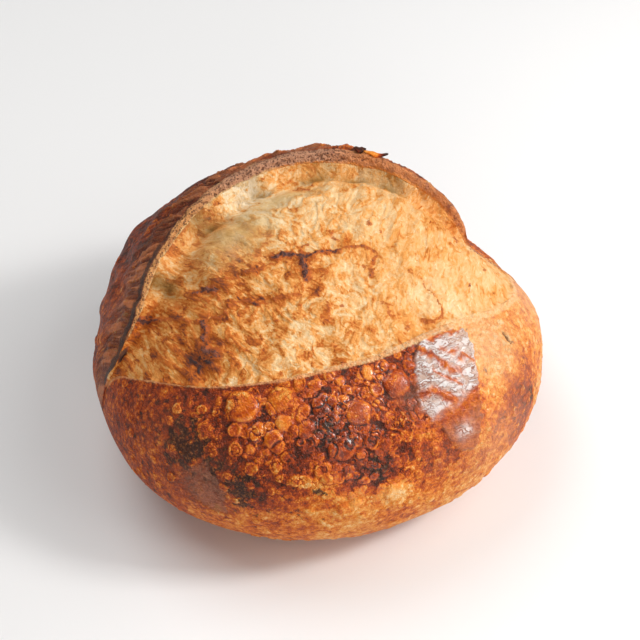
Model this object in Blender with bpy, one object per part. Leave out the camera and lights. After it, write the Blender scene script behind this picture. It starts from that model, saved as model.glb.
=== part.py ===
"""Round sourdough loaf with one long score, its raised ear and the crumb that opened below it.

The loaf is a lofted solid. Slices run round the X axis, which lies along the score, from one end of the
loaf to the other, and each slice is a closed outline that starts under the loaf, climbs the front crust,
crosses the opened crumb, folds over the ear and comes down the back. Lengths are in metres, +Z is up, and
the origin is at the middle of the box that the loaf fills, on the surface that it stands on.

A place on the loaf is given by two angles in degrees, seen from its core. The slice angle runs along the
score, from -90 at the left end to 90 at the right end. The round angle runs round the X axis, from 0 at the
front over 90 at the top to 180 at the back.
"""

import math

import bmesh
import bpy
import numpy as np

MM = 0.001

# Driving dimensions of the dough before the score opened.
HALF_LENGTH = 114.0 * MM  # along the score
HALF_WIDTH = 103.0 * MM  # across the score
WAIST = 48.0 * MM  # height of the widest ring
CROWN = 65.0 * MM  # from the widest ring to the top
KEEL = 67.0 * MM  # how far the round underside would reach below that ring if nothing held it up
FULLNESS = 2.17  # exponent of the outline: 2 is an ellipse, more is squarer
BASE_BLEND = 9.0 * MM  # height over which the side rolls on to the flat base

# The opening: round angle of the front rim and of the ear at each slice angle.
RIM_LINE = [
    (-90, 90), (-77, 84), (-70, 69), (-63, 59), (-55, 52), (-44, 47), (-25, 44),
    (0, 43.5), (27, 46.5), (48, 47), (61, 50), (70, 60), (79, 80), (90, 86),
]
EAR_LINE = [
    (-90, 94), (-77, 89), (-68, 98), (-62, 105), (-51, 117), (-37, 125), (-18, 129.5),
    (4, 131), (20, 129), (36, 119), (48, 108), (58, 96), (70, 91), (79, 89), (90, 90),
]

# Heights above the plain dough in millimetres at each slice angle; a dent is negative.
SWELL = [
    (-90, 0), (-75, 0), (-62, 1), (-45, 5), (-30, 9), (-12, 12), (4, 13), (20, 12.5), (36, 10), (46, 6),
    (57, -1), (65, -7), (73, -8), (81, -4), (90, 0),
]
BACK_SWELL = [
    (-90, 0), (-75, 0), (-60, 1), (-45, 6), (-33, 8), (-18, 5), (0, 1), (30, -1), (46, -3), (58, -8),
    (68, -12), (76, -10), (84, -3.5), (90, 0),
]
RIM_RISE = [(-90, 0), (-76, 0), (-60, 1.2), (0, 1.8), (45, 1.8), (66, 0.8), (78, 0), (90, 0)]
BELLY = [(-90, 0), (-74, 0), (-45, 4), (0, 6), (40, 5), (62, 2), (76, 0), (90, 0)]
HOLLOW = [(-90, 0), (-76, 0), (-48, 5), (-20, 4), (10, 4), (40, 2), (60, 1), (74, 0), (90, 0)]
EAR_RISE = [
    (-90, 0), (-77, 1), (-62, 5), (-45, 8), (-18, 10), (4, 11), (20, 11), (36, 11), (46, 11), (54, 8),
    (62, 2), (70, 0), (90, 0),
]
EAR_CURL = [(-90, 0), (-76, 0), (-55, 6), (-20, 6), (20, 4), (45, 3), (66, 0), (90, 0)]
EAR_FACE = [
    (-90, 0), (-76, 0), (-62, 2.5), (-40, 4), (-15, 5.5), (10, 8), (36, 9), (50, 7), (62, 1), (70, 0),
    (90, 0),
]

# How far round the loaf each of them reaches, in degrees.
SWELL_REACH = 66.0  # to both sides of the ear
BACK_REACH = 92.0  # behind the ear
EAR_REACH = 36.0  # behind the ear
HOLLOW_REACH = 18.0  # in front of the ear

# Outline of the rims.
RIM_SHOULDER = 2.5  # degrees before the front rim where it starts to rise
RIM_STEPS = ((-1.2, 0.6), (0.0, 1.0))  # degrees from the rim, share of its rise
GROOVE_SHARE = 0.7  # depth of the groove behind the rim, as a share of the rim's rise
GROOVE_WIDTH = 0.08  # as a share of the opening
CRUMB_SPAN = (0.022, 0.962)  # share of the opening that the crumb fills
BELLY_BLUNTNESS = 0.8  # exponent of the crumb's dome: less is flatter on top
FACE_LEVELS = (1.0, 0.5, 0.12)  # rows of the torn face, as shares of its depth below the ear's edge
FACE_SET_BACK = 0.35  # how far the foot of the torn face stands behind its edge, as a share of its depth
FACE_SLANT = (0.4, 0.6)  # degrees in front of the ear line at the edge, and more at the foot
LIP = 0.6  # degrees from the ear line to the top of its rounded edge
LIP_LEAN = 0.1  # how far that top stands behind the face, as a share of the face's depth
NAPE = 3.4  # degrees from the ear line to the first row of the back crust
NAPE_CROWDING = 1.15  # exponent that gathers the back's rows near the ear
EAR_FADE = 1.3  # exponent of the fall from the ear to the back

# Rows and columns of the mesh.
SLICES = 48  # along the score
BASE_ROWS = 5  # from the middle of the base to its front edge, and again at the back
FRONT_ROWS = 15
CRUMB_ROWS = 19
BACK_ROWS = 12
BASE_EDGE = -32.0  # round angle where the flat base starts at the front; the back mirrors it

# Slow unevenness of shaped dough: waves along the score, waves round it, start, size in millimetres.
LUMPS = ((2.0, 1.0, 0.4, 0.9), (3.0, 2.0, 1.9, 0.7), (5.0, 3.0, 4.1, 0.45), (4.0, 5.0, 2.6, 0.4))

CRUST_COLOUR = (0.46, 0.17, 0.045, 1.0)
CRUST_ROUGHNESS = 0.55


def smooth_step(x):
    x = np.clip(x, 0.0, 1.0)
    return x * x * (3.0 - 2.0 * x)


def along(knots, angle):
    """A value read from knots by a cubic curve that passes through them and doesn't overshoot."""
    xs = np.array([k[0] for k in knots], float)
    ys = np.array([k[1] for k in knots], float)
    steps = np.diff(xs)
    rises = np.diff(ys) / steps
    slopes = np.zeros(len(xs))
    for i in range(1, len(xs) - 1):
        if rises[i - 1] * rises[i] > 0:
            slopes[i] = 2.0 / (1.0 / rises[i - 1] + 1.0 / rises[i])
    slopes[0], slopes[-1] = rises[0], rises[-1]
    i = int(np.clip(np.searchsorted(xs, angle) - 1, 0, len(steps) - 1))
    h = steps[i]
    t = (angle - xs[i]) / h
    return (
        ys[i] * (1 + 2 * t) * (1 - t) ** 2
        + slopes[i] * h * t * (1 - t) ** 2
        + ys[i + 1] * t * t * (3 - 2 * t)
        + slopes[i + 1] * h * t * t * (t - 1)
    )


def outward(slice_angle, round_angle):
    """Unit vector from the loaf's core at these two angles."""
    a, b = math.radians(slice_angle), math.radians(round_angle)
    return np.array([math.sin(a), -math.cos(a) * math.cos(b), math.cos(a) * math.sin(b)])


def backward(round_angle):
    """Unit vector at right angles to outward, pointing over the top towards the back."""
    b = math.radians(round_angle)
    return np.array([0.0, math.sin(b), math.cos(b)])


def dough_radius(direction):
    """Distance from the core to the skin of the plain dough."""
    height = CROWN if direction[2] > 0 else KEEL
    shares = np.abs(direction / np.array([HALF_LENGTH, HALF_WIDTH, height]))
    return float((shares**FULLNESS).sum() ** (-1.0 / FULLNESS))


def lumps(slice_angle, round_angle):
    """Height of the slow unevenness; it fades out at the two ends."""
    a, b = math.radians(slice_angle), math.radians(round_angle)
    total = sum(size * math.sin(m * a + n * b + start) for m, n, start, size in LUMPS)
    return total * math.cos(a) * MM


def on_the_base(height):
    """Rolls the side on to a base that is exactly flat."""
    if height >= BASE_BLEND:
        return height
    if height <= -BASE_BLEND:
        return 0.0
    return (height + BASE_BLEND) ** 2 / (4.0 * BASE_BLEND)


def skin(slice_angle, round_angle, rise, lean=0.0):
    """A point rise above the plain dough, leaned over towards the front by lean."""
    direction = outward(slice_angle, round_angle)
    radius = dough_radius(direction) + rise
    point = direction * radius - backward(round_angle) * lean
    point[2] = on_the_base(point[2] + WAIST)
    return point


def broad_rise(slice_angle, round_angle):
    """The swelling round the ear, the swelling of the back and the unevenness, together."""
    ear_angle = along(EAR_LINE, slice_angle)
    near = 1.0 - smooth_step(abs(round_angle - ear_angle) / SWELL_REACH)
    behind = float(np.clip((round_angle - ear_angle) / BACK_REACH, 0.0, 1.0))
    back = math.sin(math.pi * behind) ** 2
    rise = along(SWELL, slice_angle) * near + along(BACK_SWELL, slice_angle) * back
    return rise * MM + lumps(slice_angle, round_angle)


def front_crust(slice_angle):
    """Rows from the middle of the base up to the top of the front rim."""
    rim = along(RIM_LINE, slice_angle)
    rim_rise = along(RIM_RISE, slice_angle) * MM
    angles = list(np.linspace(-90.0, BASE_EDGE, BASE_ROWS, endpoint=False))
    angles += list(np.linspace(BASE_EDGE, rim - RIM_SHOULDER, FRONT_ROWS))
    rows = [skin(slice_angle, a, broad_rise(slice_angle, a)) for a in angles]
    for offset, share in RIM_STEPS:
        a = rim + offset
        rows.append(skin(slice_angle, a, broad_rise(slice_angle, a) + share * rim_rise))
    return rows


def crumb(slice_angle):
    """Rows from the groove behind the rim over the domed crumb to the hollow under the ear."""
    rim, ear_angle = along(RIM_LINE, slice_angle), along(EAR_LINE, slice_angle)
    groove = GROOVE_SHARE * along(RIM_RISE, slice_angle) * MM
    belly = along(BELLY, slice_angle) * MM
    hollow = along(HOLLOW, slice_angle) * MM
    start, end = CRUMB_SPAN
    rows = []
    for share in np.linspace(0.0, 1.0, CRUMB_ROWS):
        a = rim + (ear_angle - rim) * (start + (end - start) * share)
        dome = max(0.0, math.sin(math.pi * share)) ** BELLY_BLUNTNESS
        dip = 1.0 - smooth_step((ear_angle - a) / HOLLOW_REACH)
        edge = 1.0 - smooth_step(share / GROOVE_WIDTH)
        rise = broad_rise(slice_angle, a) + belly * dome - hollow * dip - groove * edge
        rows.append(skin(slice_angle, a, rise))
    return rows


def ear(slice_angle):
    """Rows up the torn face of the ear and over its edge."""
    angle = along(EAR_LINE, slice_angle)
    curl = along(EAR_CURL, slice_angle) * MM
    face = along(EAR_FACE, slice_angle) * MM
    top = broad_rise(slice_angle, angle) + along(EAR_RISE, slice_angle) * MM
    rows = []
    for down in FACE_LEVELS:
        lean = curl - FACE_SET_BACK * face * down
        rows.append(skin(slice_angle, angle - FACE_SLANT[0] - FACE_SLANT[1] * down, top - face * down, lean))
    rows.append(skin(slice_angle, angle + LIP, top, curl - LIP_LEAN * face))
    return rows


def back_crust(slice_angle):
    """Rows from behind the ear's edge down the back to the middle of the base."""
    ear_angle = along(EAR_LINE, slice_angle)
    lift = along(EAR_RISE, slice_angle) * MM
    curl = along(EAR_CURL, slice_angle) * MM
    first, last = ear_angle + NAPE, 180.0 - BASE_EDGE
    angles = list(first + (last - first) * np.linspace(0.0, 1.0, BACK_ROWS) ** NAPE_CROWDING)
    angles += list(np.linspace(last, 270.0, BASE_ROWS, endpoint=False))[1:]
    rows = []
    for a in angles:
        fade = (1.0 - smooth_step((a - ear_angle) / EAR_REACH)) ** EAR_FADE
        rows.append(skin(slice_angle, a, broad_rise(slice_angle, a) + lift * fade, curl * fade**2))
    return rows


def outline(slice_angle):
    """The closed outline of one slice, as points in order."""
    return front_crust(slice_angle) + crumb(slice_angle) + ear(slice_angle) + back_crust(slice_angle)


def slice_angles():
    return np.linspace(-90.0, 90.0, SLICES + 1)[1:-1]


def loaf_mesh():
    """The lofted skin: a ring of quads between neighbouring slices, closed by a fan at each end."""
    rings = [outline(a) for a in slice_angles()]
    mesh = bmesh.new()
    grid = [[mesh.verts.new(p) for p in ring] for ring in rings]
    left_end, right_end = [mesh.verts.new(skin(a, 90.0, 0.0)) for a in (-90.0, 90.0)]
    count = len(grid[0])
    for i in range(count):
        j = (i + 1) % count
        for left, right in zip(grid, grid[1:]):
            mesh.faces.new((left[i], right[i], right[j], left[j]))
        mesh.faces.new((left_end, grid[0][i], grid[0][j]))
        mesh.faces.new((right_end, grid[-1][j], grid[-1][i]))
    bmesh.ops.recalc_face_normals(mesh, faces=mesh.faces)
    bmesh.ops.triangulate(mesh, faces=mesh.faces)
    data = bpy.data.meshes.new("loaf")
    mesh.to_mesh(data)
    mesh.free()
    return data


def centre_on_origin(data):
    """Moves the mesh so that the middle of its box stands over the origin."""
    points = np.array([v.co for v in data.vertices])
    middle = (points.min(axis=0) + points.max(axis=0)) / 2.0
    for vertex in data.vertices:
        vertex.co.x -= middle[0]
        vertex.co.y -= middle[1]


def crust_material():
    material = bpy.data.materials.new("crust")
    material.use_nodes = True
    shader = material.node_tree.nodes["Principled BSDF"]
    shader.inputs["Base Color"].default_value = CRUST_COLOUR
    shader.inputs["Roughness"].default_value = CRUST_ROUGHNESS
    shader.inputs["Metallic"].default_value = 0.0
    return material


def main():
    for obj in list(bpy.data.objects):
        bpy.data.objects.remove(obj)
    data = loaf_mesh()
    centre_on_origin(data)
    data.shade_smooth()
    data.materials.append(crust_material())
    loaf = bpy.data.objects.new("loaf", data)
    bpy.context.scene.collection.objects.link(loaf)


main()
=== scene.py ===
# %% [markdown]
# # A round sourdough loaf with one long score
# This notebook bakes the finish on to a loaf whose true form was already built to size. The loaf is one
# piece: a blistered crust in front, a lens of pale crumb that opened along the score, and the ear, the lip
# of crust that lifted behind it. We copy the built solid, refine its skin until it can hold relief of a
# millimetre, press in blisters, wrinkles, tears and flakes, and then colour it by how hot each part got.
# %% Load the loaf that was built to size
import itertools
import math

import bpy
import numpy as np
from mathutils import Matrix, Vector
from mathutils.bvhtree import BVHTree
from mathutils.kdtree import KDTree


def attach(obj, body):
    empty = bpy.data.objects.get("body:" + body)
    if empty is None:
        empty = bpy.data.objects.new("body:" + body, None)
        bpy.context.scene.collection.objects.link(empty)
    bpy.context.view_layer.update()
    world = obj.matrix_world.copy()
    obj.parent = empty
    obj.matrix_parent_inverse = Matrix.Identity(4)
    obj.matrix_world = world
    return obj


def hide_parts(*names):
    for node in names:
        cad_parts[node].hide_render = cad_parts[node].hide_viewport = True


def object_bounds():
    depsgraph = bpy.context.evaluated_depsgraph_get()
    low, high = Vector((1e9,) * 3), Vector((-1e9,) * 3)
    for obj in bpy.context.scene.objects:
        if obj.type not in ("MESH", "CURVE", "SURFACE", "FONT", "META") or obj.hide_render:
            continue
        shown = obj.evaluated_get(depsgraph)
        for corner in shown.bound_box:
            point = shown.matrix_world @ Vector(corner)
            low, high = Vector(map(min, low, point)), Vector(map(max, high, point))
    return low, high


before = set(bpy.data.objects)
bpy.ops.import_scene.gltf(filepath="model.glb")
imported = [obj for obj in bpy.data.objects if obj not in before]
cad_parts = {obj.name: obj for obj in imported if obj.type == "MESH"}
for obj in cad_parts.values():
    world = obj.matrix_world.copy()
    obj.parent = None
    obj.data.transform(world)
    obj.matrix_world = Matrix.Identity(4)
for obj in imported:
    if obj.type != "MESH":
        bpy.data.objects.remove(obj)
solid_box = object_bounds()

MM = 0.001
print("loaf box in mm:", [round(v / MM, 1) for v in solid_box[1] - solid_box[0]])

# %% [markdown]
# ## A copy that can be shaped
# The built solid stays as it is, so the work is done on a copy. It arrives as loose triangles. We merge
# the corners that coincide and turn the triangles back into quads, because a Subdivision Surface modifier
# rounds quads evenly. It could be remeshed in small cubes too, but that would blunt the ear.
# %% Copy, merge and refine
LEVELS = 4


def only(obj):
    """Selects one object and nothing else, so that operators act on it alone."""
    bpy.ops.object.select_all(action="DESELECT")
    obj.select_set(True)
    bpy.context.view_layer.objects.active = obj


def apply_modifier(obj, kind, **settings):
    """Adds a modifier with these settings and makes it part of the mesh."""
    only(obj)
    modifier = obj.modifiers.new(kind.lower(), kind)
    for name, value in settings.items():
        setattr(modifier, name, value)
    bpy.ops.object.modifier_apply(modifier=modifier.name)


loaf = bpy.data.objects.new("baked_loaf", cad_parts["loaf"].data.copy())
bpy.context.scene.collection.objects.link(loaf)
loaf.data.materials.clear()
only(loaf)
bpy.ops.mesh.customdata_custom_splitnormals_clear()
bpy.ops.object.mode_set(mode="EDIT")
bpy.ops.mesh.select_all(action="SELECT")
bpy.ops.mesh.remove_doubles(threshold=0.02 * MM)
bpy.ops.mesh.tris_convert_to_quads(face_threshold=math.radians(70), shape_threshold=math.radians(70))
bpy.ops.object.mode_set(mode="OBJECT")
print("quads to start from:", len(loaf.data.polygons))

# %% [markdown]
# ## Finding one's way on the loaf
# A place on the loaf is named by two angles seen from its core. One runs along the score, from -90 at the
# left tip to 90 at the right. The other runs round the loaf: 0 is the front, 90 the top, 180 the back. The
# front rim of the opening and the ear are each a line of such angles. The sharp fold at the ear's left
# foot is softened first, with the Smooth operator.
# %% Angles and lines
CORE = np.array([0.0, -1.7 * MM, 48.0 * MM])
RADIUS = 100.0  # mm, a round figure that turns angles into lengths on the skin

RIM_LINE = [
    (-90, 90), (-77, 84), (-70, 69), (-63, 59), (-55, 52), (-44, 47), (-25, 44),
    (0, 43.5), (27, 46.5), (48, 47), (61, 50), (70, 60), (79, 80), (90, 86),
]
EAR_LINE = [
    (-90, 94), (-82, 95), (-75, 93), (-67, 97.5), (-64, 100), (-56, 107), (-48, 114.5), (-41, 119.4),
    (-30, 123.8), (-15, 126.8), (0, 128.4), (8, 128.6), (19, 127.4), (26, 124.5), (34, 119), (41, 113.2),
    (48.5, 106.1), (52, 101.7), (56, 97.7), (60, 95.9), (67, 94), (75, 92.8), (82, 94), (90, 92),
]
EAR_FACE = [
    (-90, 0), (-76, 0), (-62, 1.7), (-40, 2.5), (-15, 3.4), (10, 4.6), (36, 5.4), (50, 4.6), (62, 1), (70, 0),
    (90, 0),
]


def smooth_line(knots, at):
    """Reads a line of knots at many places, by the same smooth curve as the built solid."""
    xs, ys = np.array(knots, float).T
    steps = np.diff(xs)
    rises = np.diff(ys) / steps
    slopes = np.concatenate([rises[:1], np.zeros(len(xs) - 2), rises[-1:]])
    same = rises[:-1] * rises[1:] > 0
    with np.errstate(divide="ignore", invalid="ignore"):
        slopes[1:-1] = np.where(same, 2.0 / (1.0 / rises[:-1] + 1.0 / rises[1:]), 0.0)
    i = np.clip(np.searchsorted(xs, at) - 1, 0, len(steps) - 1)
    h = steps[i]
    t = (at - xs[i]) / h
    start = ys[i] * (1 + 2 * t) * (1 - t) ** 2 + slopes[i] * h * t * (1 - t) ** 2
    return start + ys[i + 1] * t * t * (3 - 2 * t) + slopes[i + 1] * h * t * t * (t - 1)


def step(value, low, high):
    """0 below low, 1 above high, and a smooth slope between them."""
    x = np.clip((value - low) / (high - low), 0.0, 1.0)
    return x * x * (3.0 - 2.0 * x)


def angles_of(points):
    """Both angles and the distance from the core of many points."""
    away = points - CORE
    radius = np.linalg.norm(away, axis=1)
    along = np.degrees(np.arcsin(away[:, 0] / radius))
    around = np.degrees(np.arctan2(away[:, 2], -away[:, 1]))
    around[around < -90] += 360
    return along, around, radius


def outward(along, around):
    a, b = math.radians(along), math.radians(around)
    return Vector((math.sin(a), -math.cos(a) * math.cos(b), math.cos(a) * math.sin(b)))


def points_of(mesh, field="vertices", name="co"):
    values = np.empty(len(mesh.vertices) * 3, np.float32)
    getattr(mesh, field).foreach_get(name, values)
    return values.reshape(-1, 3).astype(float)


def soften(obj, chosen, repeat):
    """Rounds off the chosen points with the Smooth operator of Edit Mode."""
    only(obj)
    bpy.ops.object.mode_set(mode="EDIT")
    bpy.ops.mesh.select_mode(type="VERT")
    bpy.ops.mesh.select_all(action="DESELECT")
    bpy.ops.object.mode_set(mode="OBJECT")
    obj.data.vertices.foreach_set("select", chosen)
    bpy.ops.object.mode_set(mode="EDIT")
    bpy.ops.mesh.vertices_smooth(factor=0.5, repeat=repeat)
    bpy.ops.object.mode_set(mode="OBJECT")


def distance_to_path(points, path):
    """Shortest distance of each point from a path in space."""
    best = np.full(len(points), np.inf)
    for a, b in zip(path, path[1:]):
        way = b - a
        t = np.clip((points - a) @ way / max(way @ way, 1e-12), 0.0, 1.0)
        gap = points - a - t[:, None] * way
        best = np.minimum(best, np.einsum("ij,ij->i", gap, gap))
    return np.sqrt(best)


def ear_edge(points):
    """The ear's edge: in each slice the point near the ear line that juts furthest up and forward."""
    along, around, _ = angles_of(points)
    line = smooth_line(EAR_LINE, along)
    edge = []
    for place in np.arange(-78.75, 79, 3.75):
        near = np.where((np.abs(along - place) < 1.5) & (np.abs(around - line) < 3.0))[0]
        forward = np.array(outward(place, float(smooth_line(EAR_LINE, np.array(place))) - 40.0))
        edge.append(points[near[((points[near] - CORE) @ forward).argmax()]])
    return np.array(edge)


def facing_front(around, normals):
    """How far each normal turns towards the front of the loaf and not up along the skin."""
    b = np.radians(around)
    return -np.sin(b) * normals[:, 1] - np.cos(b) * normals[:, 2]


coarse = points_of(loaf.data)
EAR_EDGE = ear_edge(coarse)
EDGE_ALONG, EDGE_AROUND, _ = angles_of(EAR_EDGE)
along, around, _ = angles_of(coarse)
below_ear = smooth_line(EAR_LINE, along) - around
above_rim = around - smooth_line(RIM_LINE, along)
from_edge = distance_to_path(coarse, EAR_EDGE) / MM
forward = facing_front(around, points_of(loaf.data, "vertex_normals", "vector")) > 0.0
at_left_foot = (along > -76.0) & (along < -34.0) & (above_rim > 6.0) & (from_edge > 3.5) & (from_edge < 45.0)
at_left_foot &= (below_ear > 3.0) | (forward & (below_ear > -6.0))
soften(loaf, at_left_foot, 16)
print("points softened at the ear's left foot:", int(at_left_foot.sum()))
skin_tree = BVHTree.FromObject(loaf, bpy.context.evaluated_depsgraph_get())


def on_skin(along, around):
    """The point of the skin in that direction from the core."""
    hit = skin_tree.ray_cast(Vector(CORE), outward(along, around))[0]
    return np.array(hit)


RIM_PATH = np.array([on_skin(a, float(smooth_line(RIM_LINE, a))) for a in np.arange(-80.0, 81.0, 2.5)])
print("points on the ear's edge:", len(EAR_EDGE), " and on the rim:", len(RIM_PATH))

# %% [markdown]
# ## Refining the skin and measuring it
# Each level of subdivision halves the spacing, down to about half a millimetre. Then every point of the
# skin gets its angles, its distances from the rim and from the ear's edge, and a share from 0 to 1 of each
# region: opened crumb, torn face of the ear, and crust behind it. All relief and colour is built on these.
# %% Refine and measure
apply_modifier(loaf, "SUBSURF", levels=LEVELS, render_levels=LEVELS)


class Skin:
    """Where every point of a mesh lies on the loaf. Lengths named _mm are in millimetres."""

    def __init__(self, mesh):
        self.points = points_of(mesh)
        self.normals = points_of(mesh, "vertex_normals", "vector")
        self.along, self.around, self.radius = angles_of(self.points)
        a, b = np.radians(self.along), np.radians(self.around)
        self.flow = np.stack([RADIUS * a, RADIUS * np.cos(a) * b, self.radius / MM], axis=1)
        rim_side = np.sign(self.around - smooth_line(RIM_LINE, self.along))
        self.rim_mm = rim_side * distance_to_path(self.points, RIM_PATH) / MM
        edge_around = np.interp(self.along, EDGE_ALONG, EDGE_AROUND)
        self.edge_mm = distance_to_path(self.points, EAR_EDGE) / MM
        towards_front = facing_front(self.around, self.normals)
        self.depth = smooth_line(EAR_FACE, self.along)
        near_edge = 1.0 - step(self.edge_mm, self.depth, self.depth + 1.5)
        inside = step(self.depth, 0.4, 1.5)
        upright = step(towards_front, 0.15, 0.5)
        self.face = upright * near_edge * inside
        past_edge = step(self.around - edge_around, -0.6, 0.4)
        under_ear = upright * inside * (1.0 - step(self.edge_mm, 19.0, 22.0))
        self.behind = past_edge * (1.0 - under_ear)
        past_rim = step(self.rim_mm, -0.3, 0.5)
        at_score = step(80 - np.abs(self.along), 0.0, 4.0)
        self.crumb = past_rim * (1.0 - self.face) * (1.0 - self.behind) * at_score
        self.front = 1.0 - np.maximum(np.maximum(self.crumb, self.face), self.behind)


skin = Skin(loaf.data)
for region in ("front", "crumb", "face", "behind"):
    print(region, "covers", round(float(getattr(skin, region).mean()), 3), "of", len(skin.points), "points")

# %% [markdown]
# ## Unevenness from noise
# Nothing on a loaf repeats, so most relief starts from noise: random slopes at the corners of a grid of
# cubes, blended smoothly in between. The size is the width of a typical bump in millimetres. Ridged noise
# is folded at its middle, which turns soft hills into sharp creases such as those of stretched crumb.
# %% Noise helpers
SLOPES = np.array([v for v in itertools.product((-1, 0, 1), repeat=3) if abs(np.array(v)).sum() == 2], float)


def noise(places_mm, size, seed, octaves=1):
    """Smooth noise from about -1 to 1."""
    total, weight = 0.0, 1.0
    for octave in range(octaves):
        spot = places_mm * (2.0**octave / size) + 37.3 * seed + 11.7 * octave
        cell = np.floor(spot).astype(np.int64)
        part = spot - cell
        ease = part**3 * (part * (part * 6.0 - 15.0) + 10.0)
        value = np.zeros(len(spot))
        for corner in itertools.product((0, 1), repeat=3):
            at = cell + corner
            mixed = at[:, 0] * 73856093 ^ at[:, 1] * 19349663 ^ at[:, 2] * 83492791
            slope = SLOPES[(mixed >> 5) % len(SLOPES)]
            share = np.prod(np.where(corner, ease, 1.0 - ease), axis=1)
            value += share * np.einsum("ij,ij->i", slope, part - corner)
        total = total + weight * value
        weight *= 0.5
    return total * 1.5


def ridges(places_mm, size, seed, octaves=1):
    """0 in the hollows and 1 on sharp crests."""
    return 1.0 - np.minimum(1.0, np.abs(noise(places_mm, size, seed, octaves)) * 2.0)


def swirled(places_mm, size, reach, seed):
    """The same places pushed about by noise, so that a straight pattern curls."""
    push = np.stack([noise(places_mm, size, seed + k) for k in range(3)], axis=1)
    return places_mm + push * reach


space_mm = skin.points / MM
print("noise runs from", round(float(noise(space_mm[::50], 8.0, 1).min()), 2), "to",
      round(float(noise(space_mm[::50], 8.0, 1).max()), 2))

# %% [markdown]
# ## Opened crumb
# The crumb stretched as the loaf sprang. It lies in soft pillows crossed by fine creases, which mostly run
# from the ear towards the rim on the right and turn along the score at the lower left. We add broad noise
# for the pillows and two sizes of ridged noise, drawn out along the stretch, for the creases.
# %% Relief of the crumb
def crumb_relief(s):
    """Height of pillows and creases in millimetres, and how close to a crest each point is."""
    pick = np.where(s.crumb > 0.01)[0]
    flow = s.flow[pick]
    pillows = noise(flow, 17.0, 3, 2) * 1.3
    curled = swirled(flow, 22.0, 9.0, 5)
    lower_left = step(-s.along[pick], 0.0, 30.0) * step(95 - s.around[pick], 0.0, 15.0)
    across = ridges(curled * (1.0, 0.42, 1.0), 4.6, 9, 2)
    lengthwise = ridges(curled * (0.4, 1.0, 1.0), 4.2, 12, 2)
    creases = across * (1.0 - lower_left) + lengthwise * lower_left
    fine = noise(curled * (1.0, 0.6, 1.0), 2.0, 14)
    stretched = 1.0 - 0.8 * glassy_crumb(s)[pick]
    plates = step(noise(curled * (1.0, 0.7, 1.0), 7.0, 16, 3), -0.10, 0.06)
    chips = step(noise(curled, 3.6, 18, 2), -0.05, 0.12)
    height = np.zeros(len(s.points))
    rough = 0.07 * creases + 0.42 * plates + 0.22 * chips - 0.36 + 0.05 * fine
    height[pick] = (pillows + stretched * rough) * s.crumb[pick]
    crest = np.zeros(len(s.points))
    crest[pick] = 0.45 * plates + 0.35 * chips + 0.2 * creases
    return height, crest


FLAP = [(26, 72), (30, 67), (32, 60), (33, 54), (31, 49.5), (28, 48), (25, 49.5), (20, 56), (20, 66), (23, 72)]


def inside_mm(s, outline):
    """Distance inside a closed outline of angles, in mm; outside it is negative."""
    corners = np.array([(RADIUS * math.radians(a), RADIUS * math.cos(math.radians(a)) * math.radians(b))
                        for a, b in outline])
    place = s.flow[:, :2]
    gap = distance_to_path(place, np.vstack([corners, corners[:1]]))
    inside = np.zeros(len(place), bool)
    for (x0, y0), (x1, y1) in zip(corners, np.roll(corners, -1, axis=0)):
        crosses = (y0 > place[:, 1]) != (y1 > place[:, 1])
        reach = x0 + (place[:, 1] - y0) * (x1 - x0) / (y1 - y0 + 1e-9)
        inside ^= crosses & (place[:, 0] < reach)
    return np.where(inside, gap, -gap)


def flap_relief(s):
    """A flap of crumb that folded over to the right: steep at its right border, level with the rest at its left."""
    depth = inside_mm(s, FLAP) + 0.8 * noise(s.points / MM, 5.0, 19)
    return 1.6 * step(depth, 0.0, 1.0) * step(s.along, 21.0, 31.0) * s.crumb


def spot(s, along, around, width, depth=None, turn=0.0):
    """A soft round or oval patch: 1 at its middle and 0 beyond about twice its half width, in mm."""
    a, b = math.radians(along), math.radians(around)
    x = s.flow[:, 0] - RADIUS * a
    y = s.flow[:, 1] - RADIUS * np.cos(np.radians(s.along)) * b
    c, d = math.cos(math.radians(turn)), math.sin(math.radians(turn))
    u, v = (c * x + d * y) / width, (c * y - d * x) / (depth or width)
    return np.exp(-(u * u + v * v))


def glassy_crumb(s):
    """The smooth, almost clear skin stretched below the ear at the upper left."""
    return np.clip(spot(s, -24, 109, 22, 16) + spot(s, -2, 118, 20, 7), 0.0, 1.0)


crumb_height, crest = crumb_relief(skin)
relief = {"crumb": crumb_height, "flap": flap_relief(skin)}
print("crumb relief in mm:", round(float(relief["crumb"].min()), 2), round(float(relief["crumb"].max()), 2))

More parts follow.
